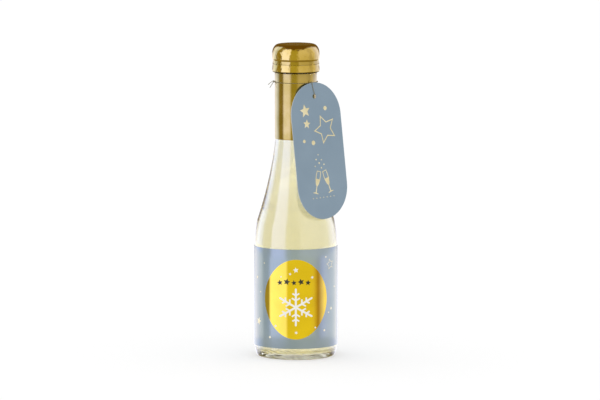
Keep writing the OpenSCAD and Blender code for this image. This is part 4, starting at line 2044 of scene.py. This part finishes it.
@dataclass
class BodyLabel:
    """The paper label, its foil oval and what is printed on both.

    Prints on the paper have their place across in degrees, those on the oval in millimetres.
    """

    label_t: float = 0.1
    label_round: float = 0.03
    seam_w: float = 26.0
    disc_w: float = 39.7
    disc_edge_share: float = 0.985
    disc_edge_drop: float = 0.6
    disc_sink: float = 0.005
    disc_rings: int = 26
    disc_sides: int = 144
    disc_weld: float = 1e-4
    print_t: float = 0.03
    cut_w: float = 0.8
    flake_r: float = 12.4
    flake_z: float = 34.4
    flake_half_w: float = 0.62
    flake_branches: tuple[Pair, ...] = ((0.36, 0.24), (0.62, 0.20))
    flake_branch_share: float = 0.8
    steps: int = 280
    gold_prints: tuple[Print, ...] = (
        *Motif.STAR_LINE.at((54.5, 61, 3.6, 12)),
        *Motif.DOT.at((45.5, 66, 0.5), (-48.4, 61.9, 0.45), (-38, 14.4, 0.75), (42.7, 18.7, 0.7)),
        *Motif.DOT.at((51.1, 29.9, 0.5), (-57, 43, 0.5), (66, 46, 0.5)),
        *Motif.STAR.at((-61.4, 23.8, 2.6, -14)),
        *Motif.SPARK.at((56.9, 32.2, 1.3), (-66, 52, 1.2)),
    )
    back_prints: tuple[Print, ...] = (
        *Motif.STAR.at((92, 22, 2.6, 10), (160, 20, 2.2, 18), (-118, 56, 2.5, -12)),
        *Motif.DOT.at((84, 60, 0.6), (118, 30, 0.7), (146, 40, 0.5), (-148, 34, 0.7)),
        *Motif.DOT.at((-104, 38, 0.6), (-82, 64, 0.5)),
        *Motif.SPARK.at((104, 48, 1.5), (-160, 60, 1.4), (-92, 22, 1.4)),
        *Motif.STAR_LINE.at((134, 58, 3.4, -10), (-132, 18, 3.2, 8)),
    )
    disc_prints: tuple[Print, ...] = (
        *Motif.STAR.at((0, 58.4, 1.9, 8), (-3.7, 55.9, 1, -10)),
        *Motif.SPARK.at((0.2, 18, 1.2), (10.5, 53.5, 1.1), (-13, 22, 1)),
        *Motif.DOT.at((-9.5, 54, 0.45), (12.5, 21, 0.5)),
    )
    dark_prints: tuple[Print, ...] = (
        *Motif.STAR.at((-10.2, 50.2, 1.9, 10), (-5.8, 50.8, 2.3, -12), (-1.2, 50.2, 1.9, 8)),
        *Motif.STAR.at((3.3, 50.8, 2.3, 16), (7.8, 50.2, 1.9, -6)),
    )

    def build(self) -> None:
        """Makes the paper, the foil oval and the prints."""
        outer, self.low, self.high = round_size("body_label")
        self.face_r = outer - self.print_t
        self.back_r = outer - self.label_t
        self._paper()
        self._oval()
        self._prints()

    def _paper(self) -> None:
        """Wraps the paper, which leaves a strip of bare glass at the back."""
        gap = math.degrees(self.seam_w / 2 / self.face_r)
        face, back = self.face_r, self.back_r
        corners = [(face, self.low), (face, self.high), (back, self.high), (back, self.low)]
        outline = rounded(corners, self.label_round, 2)
        paper = Solid()
        paper.revolve(outline, self.steps, span=(180.0 + gap, 540.0 - gap))
        glued = [math.hypot(p.x, p.y) < (face + back) / 2 for p in paper.points]
        paper.finishes = [int(any(glued[i] for i in numbers)) for numbers in paper.faces]
        finishes = [SatinPaper(), GluedPaper()]
        paper.piece("body_label_paper", "bottle", "label_paper", finishes, ["body_label"])

    def on_front(self, across: float, up: float, lift: float) -> Vector:
        """A point of the label that is given as it is seen from the front."""
        angle = math.degrees(math.asin(across / self.face_r))
        return polar(self.face_r + lift, angle, up)

    def _oval(self) -> None:
        """Lays the foil oval on the front, with softly pressed edges."""
        _, low, high = round_size("label_disc")
        middle, half_h = (low + high) / 2, (high - low) / 2
        half_w = self.disc_w / 2
        rings, sides = self.disc_rings, self.disc_sides
        tops, backs, faces = [], [], []
        for ring in range(rings + 1):
            share = ring / rings
            edge = ease((share - self.disc_edge_share) / (1.0 - self.disc_edge_share))
            lift = self.print_t * (1.0 - self.disc_edge_drop * edge)
            for k in range(sides):
                a = 2 * math.pi * k / sides
                x, z = share * half_w * math.cos(a), middle + share * half_h * math.sin(a)
                tops.append(self.on_front(x, z, lift))
                backs.append(self.on_front(x, z, -self.disc_sink))
        count = len(tops)
        for ring in range(rings):
            for k in range(sides):
                a, b = ring * sides + k, ring * sides + (k + 1) % sides
                c, d = b + sides, a + sides
                faces.append((a, b, c, d))
                faces.append((count + d, count + c, count + b, count + a))
        for k in range(sides):
            a, b = rings * sides + k, rings * sides + (k + 1) % sides
            faces.append((a, b, count + b, count + a))
        oval = Solid()
        oval.add(tops + backs, faces)
        finishes = [PrintFoil()]
        oval.piece("label_oval_foil", "bottle", "print_foil", finishes, ["label_disc"], self.disc_weld)

    def _prints(self) -> None:
        """Prints the gold stars and dots on the paper, and the white and dark shapes on the oval."""
        gold = Solid()
        for item in (*self.gold_prints, *self.back_prints):
            angle = item.across

            def on_paper(x: float, y: float, lift: float) -> Vector:
                """A point of the print, laid round the label."""
                turned = angle + math.degrees(x / self.face_r)
                return polar(self.face_r + lift, turned, item.up + y)

            gold.plate(item.loops(), on_paper, (-SINK, self.print_t), self.cut_w)
        gold.piece("label_stars_foil", "bottle", "print_foil", [PaleFoil()])
        levels = (self.print_t - SINK, 2 * self.print_t)
        white, dark = Solid(), Solid()
        flake = snowflake_loop(self.flake_r, self.flake_half_w, self.flake_branches, self.flake_branch_share)
        white.plate([moved(flake, 0.0, self.flake_z)], self.on_front, levels, self.cut_w)
        for ink, items in ((white, self.disc_prints), (dark, self.dark_prints)):
            for item in items:
                ink.plate(item.placed(), self.on_front, levels, self.cut_w)
        white.piece("oval_print_white", "bottle", "label_paper", [WhiteInk()])
        dark.piece("oval_print_dark", "bottle", "label_paper", [DarkInk()])


@dataclass
class HangTag:
    """The card tag with its punched hole and its foil print."""

    plane: TagPlane
    tag_w: float = 42.6
    hole_d: float = 3.0
    print_t: float = 0.03
    edge: float = 0.06
    end_steps: int = 64
    hole_sides: int = 48
    flutes: tuple[Pair, ...] = ((-17.0, -4.2), (17.0, 4.6))
    flute_up: float = -55.0
    flute_side: tuple[Pair, ...] = (
        (2.3, -7.4), (2.1, -7.0), (0.4, -6.6), (0.3, -2.6),
        (1.2, -1.4), (1.9, 1.6), (2.0, 4.4), (1.7, 7.4),
    )
    flute_clear: tuple[Pair, ...] = ((1.35, 2.2), (1.5, 4.4), (1.22, 6.95))
    front_prints: tuple[Print, ...] = (
        *Motif.STAR.at((-9.2, -8.7, 4.4, 6), (-8.7, -17.1, 3.1, -8)),
        *Motif.DOT.at((8.2, -8.3, 1.4), (-12.2, -27.9, 1.1), (-4.5, -29.5, 1.5), (-1.5, -37.5, 0.4)),
        *Motif.DOT.at((-3.6, -40.4, 0.5), (0.9, -40.9, 0.4), (-1.2, -42.8, 0.6), (2.8, -44, 0.5)),
        *Motif.DOT.at((-4.9, -44.6, 0.4), (0.4, -46, 0.5)),
        *Motif.STAR_LINE.at((6.6, -21.6, 9.8, 20.7)),
        *(Print(Motif.DOT, 3.0 * i, -65.0, 0.35) for i in range(-3, 4)),
    )

    def build(self) -> None:
        """Makes the card and its print."""
        end_r = self.tag_w / 2
        upper = self.plane.hole_drop - end_r
        lower = self.plane.hole_drop - self.plane.tag_l + end_r
        top = arc((0.0, upper), end_r, 0.0, 180.0, self.end_steps)
        foot = arc((0.0, lower), end_r, 180.0, 360.0, self.end_steps)
        self._card([[*top, *foot], circle(self.hole_d / 2, self.hole_sides)])
        self._print()

    def _card(self, loops: Sequence[Profile]) -> None:
        """Cuts the card, with edges that the punch has slightly rounded.

        Args:
            loops: The card's outline and its hole.
        """
        half_t = self.plane.tag_t / 2
        middles = (self.plane.hole_drop - self.plane.tag_l / 2, 0.0)
        drawn = []
        for loop, middle, edge in zip(loops, middles, (self.edge, -self.edge)):
            aways = [Vector((x, y - middle)).normalized() * edge for x, y in loop]
            drawn.append([(x - away.x, y - away.y) for (x, y), away in zip(loop, aways)])
        front = tessellate_polygon([[Vector((x, y, 0.0)) for x, y in loop] for loop in drawn])
        small = [p for loop in drawn for p in loop]
        full = [p for loop in loops for p in loop]
        count = len(full)
        levels = [(small, half_t), (full, half_t - self.edge), (full, self.edge - half_t), (small, -half_t)]
        points = [self.plane.at(x, forward, y) for level, forward in levels for x, y in level]
        back = [tuple(3 * count + i for i in face[::-1]) for face in front]
        card = Solid()
        card.add(points, [*front, *back])
        first = 0
        for loop in loops:
            for k in range(len(loop)):
                a, b = first + k, first + (k + 1) % len(loop)
                for level, finish in enumerate((0, 1, 0)):
                    low, high = level * count, (level + 1) * count
                    card.faces.append((low + a, low + b, high + b, high + a))
                    card.finishes.append(finish)
            first += len(loop)
        card.piece("hang_tag_card", "tag", "tag_card", [TagCard(), CardCore()], ["hang_tag"])

    def on_face(self, across: float, up: float, lift: float) -> Vector:
        """A point on the tag's face."""
        return self.plane.at(across, self.plane.tag_t / 2 + lift, up)

    def _flute(self, tilt: float, aside: float) -> list[Profile]:
        """The outline of a wine flute, with the clear part of its bowl as a hole.

        Args:
            tilt: How far it leans, in degrees.
            aside: The place of its middle across.

        Returns:
            The outline and the hole.
        """
        sides = (self.flute_side, self.flute_clear)
        whole = [[*side, *[(-x, y) for x, y in side[::-1]]] for side in sides]
        return [moved(turned(loop, tilt), aside, self.flute_up) for loop in whole]

    def _print(self) -> None:
        """Stamps the stars, the fizz and two flutes on the face."""
        foil = Solid()
        shapes = [item.placed() for item in self.front_prints]
        shapes += [self._flute(tilt, aside) for tilt, aside in self.flutes]
        for loops in shapes:
            foil.plate(loops, self.on_face, (-SINK, self.print_t))
        foil.piece("tag_print_foil", "tag", "print_foil", [PaleFoil()])


# Studio


@dataclass
class Studio:
    """The pale floor, the soft light and the surroundings that gloss and glass show.

    The tables give the colours that gloss, glass and the label show, by the angle.
    """

    floor_r: float = 9000.0
    floor_tone: float = 0.60
    floor_glow: float = 0.42
    floor_sides: int = 48
    floor_grain: float = 0.02
    floor_more: float = 1.01
    soft_level: float = 0.94
    sun_level: float = 0.22
    sun_spread: float = 60.0
    sun_turn: float = -125.0
    sun_rise: float = 48.0
    sun_away: float = 2.0
    sheen_r: float = 62.0
    sheen_foot: float = 0.5
    sheen_h: float = 70.0
    sheen_steps: int = 72
    behind_lift: float = 0.75
    behind_span: Pair = (0.1, 0.8)
    high_span: Pair = (0.60, 0.80)
    aside_span: Pair = (0.55, 0.20)
    low_span: Pair = (-0.20, -0.42)
    high_tone: Triple = (0.17, 0.092, 0.01)
    low_tone: Triple = (0.40, 0.31, 0.08)
    room: tuple[tuple[float, Triple], ...] = (
        (-180, (1.3, 1.3, 1.4)), (-140, (1.3, 1.3, 1.5)), (-130, (1.15, 1.28, 1.85)),
        (-113, (0.84, 0.96, 1.45)), (-100, (0.39, 0.31, 0.07)), (-76, (0.33, 0.25, 0.04)),
        (-68, (1.36, 1.38, 1.95)), (-34, (1.35, 1.34, 1.85)), (-24, (0.53, 0.45, 0.08)),
        (4, (0.53, 0.45, 0.08)), (16, (0.84, 0.75, 0.48)), (60, (0.8, 0.71, 0.46)),
        (80, (0.6, 0.52, 0.31)), (100, (0.88, 0.8, 0.56)), (112, (0.8, 0.78, 1.0)),
        (134, (1.06, 1.05, 1.35)), (146, (1.25, 1.25, 1.4)), (180, (1.3, 1.3, 1.4)),
    )
    through: tuple[tuple[float, Triple], ...] = (
        (-180, (0.98, 0.98, 0.88)), (-150, (0.99, 0.99, 0.88)), (-138, (1.18, 1.19, 1.17)),
        (138, (1.14, 1.16, 1.12)), (150, (0.99, 0.99, 0.88)), (180, (0.98, 0.98, 0.88)),
    )
    sheen: tuple[tuple[float, Triple], ...] = (
        (-150, (1.75, 1.6, 1.5)), (-132, (1.55, 1.42, 1.42)), (-118, (1.3, 1.28, 1.15)),
        (-107, (1.15, 1.15, 0.95)), (-100, (0.36, 0.33, 0.16)), (-80, (0.34, 0.3, 0.14)),
        (-74, (1.34, 1.38, 1.75)), (-28, (1.18, 1.24, 1.5)), (-22, (0.8, 0.75, 0.14)),
        (40, (0.8, 0.74, 0.14)), (50, (0.76, 0.68, 0.2)), (58, (0.6, 0.46, 0.12)),
        (64, (0.42, 0.28, 0.06)), (68, (0.5, 0.38, 0.3)), (76, (0.74, 0.68, 1.1)),
        (86, (1.12, 1.08, 1.3)), (100, (1.2, 1.12, 1.1)), (120, (1.22, 1.2, 1.15)),
        (134, (1.45, 1.38, 1.3)), (150, (1.75, 1.6, 1.5)),
    )

    def build(self) -> None:
        """Makes the floor, its sheen, the key light and the world."""
        self._floor()
        self._sheen()
        self._key()
        self._world()

    @staticmethod
    def _screen(
        name: str,
        points: Sequence[Vector],
        faces: Sequence[tuple[int, ...]],
        material: bpy.types.Material,
    ) -> bpy.types.Object:
        """Makes a surface that only the camera and gloss can show.

        Args:
            name: Its name.
            points: Its points, in millimetres.
            faces: Its faces.
            material: What it is finished in.

        Returns:
            The new object.
        """
        mesh = bpy.data.meshes.new(name)
        mesh.from_pydata([p * MM for p in points], [], faces)
        mesh.materials.append(material)
        made = linked(name, mesh)
        made.visible_diffuse = False
        made.visible_transmission = False
        made.visible_shadow = False
        return made

    def _floor(self) -> None:
        """Lays the floor, which shows white and keeps the bottle's shadow."""
        material = bpy.data.materials.new("floor_paper")
        material.use_nodes = True
        nodes = Nodes(material.node_tree)
        grain = nodes.grain(nodes.place(), self.floor_grain)
        tone = nodes.mix(grain, (self.floor_tone,) * 3, (self.floor_tone * self.floor_more,) * 3)
        matt = nodes.add("ShaderNodeBsdfDiffuse", values={"Color": tone})
        glow = nodes.add("ShaderNodeEmission", values={"Strength": self.floor_glow})
        both = nodes.add("ShaderNodeAddShader", values={0: matt, 1: glow})
        nodes.add("ShaderNodeOutputMaterial", values={"Surface": both})
        turn = 360.0 / self.floor_sides
        rim = [polar(self.floor_r, turn * i, 0.0) for i in range(self.floor_sides)]
        floor = self._screen("floor", rim, [tuple(range(self.floor_sides))], material)
        floor.visible_glossy = False

    def _sheen(self) -> None:
        """Stands up the strips of light and dark that the label and its foil show."""
        material = bpy.data.materials.new("table_sheen")
        material.use_nodes = True
        nodes = Nodes(material.node_tree)
        stops = [(self._met(angle), colour) for angle, colour in self.sheen]
        colour = self._by_angle(nodes, nodes.place(), stops)
        glow = nodes.add("ShaderNodeEmission", values={"Color": colour})
        nodes.add("ShaderNodeOutputMaterial", values={"Surface": glow})
        steps = self.sheen_steps
        low, high = stops[0][0], stops[-1][0]
        angles = [low + (high - low) * i / steps for i in range(steps + 1)]
        rim = [polar(self.sheen_r, a, z) for z in (self.sheen_foot, self.sheen_h) for a in angles]
        faces = [(i, i + 1, steps + 2 + i, steps + 1 + i) for i in range(steps)]
        sheen = self._screen("table_sheen", rim, faces, material)
        sheen.visible_camera = False

    def _met(self, angle: float) -> float:
        """Where a ray that the label mirrors meets the strips.

        Args:
            angle: The mirrored ray's direction.

        Returns:
            The angle round the bottle at which it meets them.
        """
        half = math.radians(angle / 2)
        label_r = round_size("body_label")[0]
        run = math.sqrt(self.sheen_r ** 2 - (label_r * math.sin(half)) ** 2) - label_r * math.cos(half)
        across = label_r * math.sin(half) + run * math.sin(2 * half)
        ahead = label_r * math.cos(half) + run * math.cos(2 * half)
        return math.degrees(math.atan2(across, ahead))

    @staticmethod
    def _by_angle(nodes: Nodes, vector: Value, stops: Sequence[tuple[float, Triple]]) -> Value:
        """A colour that changes with the angle round the bottle.

        Args:
            nodes: The node tree.
            vector: A place or direction.
            stops: Angles, from the front towards the right, and their colours.

        Returns:
            The colour.
        """
        x, y, _ = nodes.split(vector)
        share = nodes.combine("ARCTAN2", x, y * -1.0) * (0.5 / math.pi) + 0.5
        listed = [((angle + 180.0) / 360.0, colour) for angle, colour in stops]
        return nodes.add("ShaderNodeValToRGB", {"stops": listed}, {0: share})

    def _key(self) -> None:
        """Hangs the large soft light at the left and a little behind."""
        data = bpy.data.lights.new("key_light", "SUN")
        data.angle = math.radians(self.sun_spread)
        data.energy = self.sun_level
        made = linked("key_light", data)
        rise = math.radians(self.sun_rise)
        source = polar(math.cos(rise), self.sun_turn, math.sin(rise))
        made.location = source * self.sun_away
        made.rotation_mode = "QUATERNION"
        made.rotation_quaternion = (-source).to_track_quat("-Z", "Y")
        made.visible_glossy = False
        made.visible_transmission = False
        made.visible_camera = False

    def _world(self) -> None:
        """Surrounds the bottle: white for the camera, even light, and the room for gloss and glass."""
        world = bpy.data.worlds.new("studio_world")
        world.use_nodes = True
        bpy.context.scene.world = world
        nodes = Nodes(world.node_tree)
        world.cycles.sampling_method = "NONE"
        way = nodes.add("ShaderNodeTexCoord", out="Generated")
        side, back, up = nodes.split(way)
        lifted = up + self.behind_lift * back.between(*self.behind_span)
        above = lifted.between(*self.high_span) * (side * side).between(*self.aside_span)
        below = up.between(*self.low_span)
        room = nodes.mix(above, self._by_angle(nodes, way, self.room), self.high_tone)
        gloss = nodes.mix(below, room, self.low_tone)
        path = nodes.add("ShaderNodeLightPath", out="Is Camera Ray")
        seen = {o.name: Value(nodes, o) for o in path.socket.node.outputs}
        light = nodes.mix(seen["Is Camera Ray"], (self.soft_level,) * 3, (1.0, 1.0, 1.0))
        light = nodes.mix(seen["Is Glossy Ray"], light, gloss)
        through = self._by_angle(nodes, way, self.through)
        light = nodes.mix(seen["Is Transmission Ray"], light, through)
        glow = nodes.add("ShaderNodeBackground", values={"Color": light})
        nodes.add("ShaderNodeOutputWorld", values={"Surface": glow})


def main() -> None:
    """Builds the bottle piece by piece, then the studio."""
    logging.basicConfig(level=logging.INFO, format="%(message)s")
    bpy.context.scene.view_settings.view_transform = "Standard"
    bpy.context.scene.cycles.max_bounces = BOUNCES
    bpy.context.scene.cycles.glossy_bounces = BOUNCES
    bpy.context.scene.cycles.transmission_bounces = BOUNCES
    form = BottleForm()
    PhotoCamera().build()
    plane = TagPlane(form)
    TagCord(plane).build()
    GlassBottle(form).build()
    Wine(form).build()
    cap = ScrewCap(form)
    cap.build()
    TamperBand(cap).build()
    NeckSleeve().build()
    BodyLabel().build()
    HangTag(plane).build()
    Studio().build()


if __name__ == "__main__":
    main()
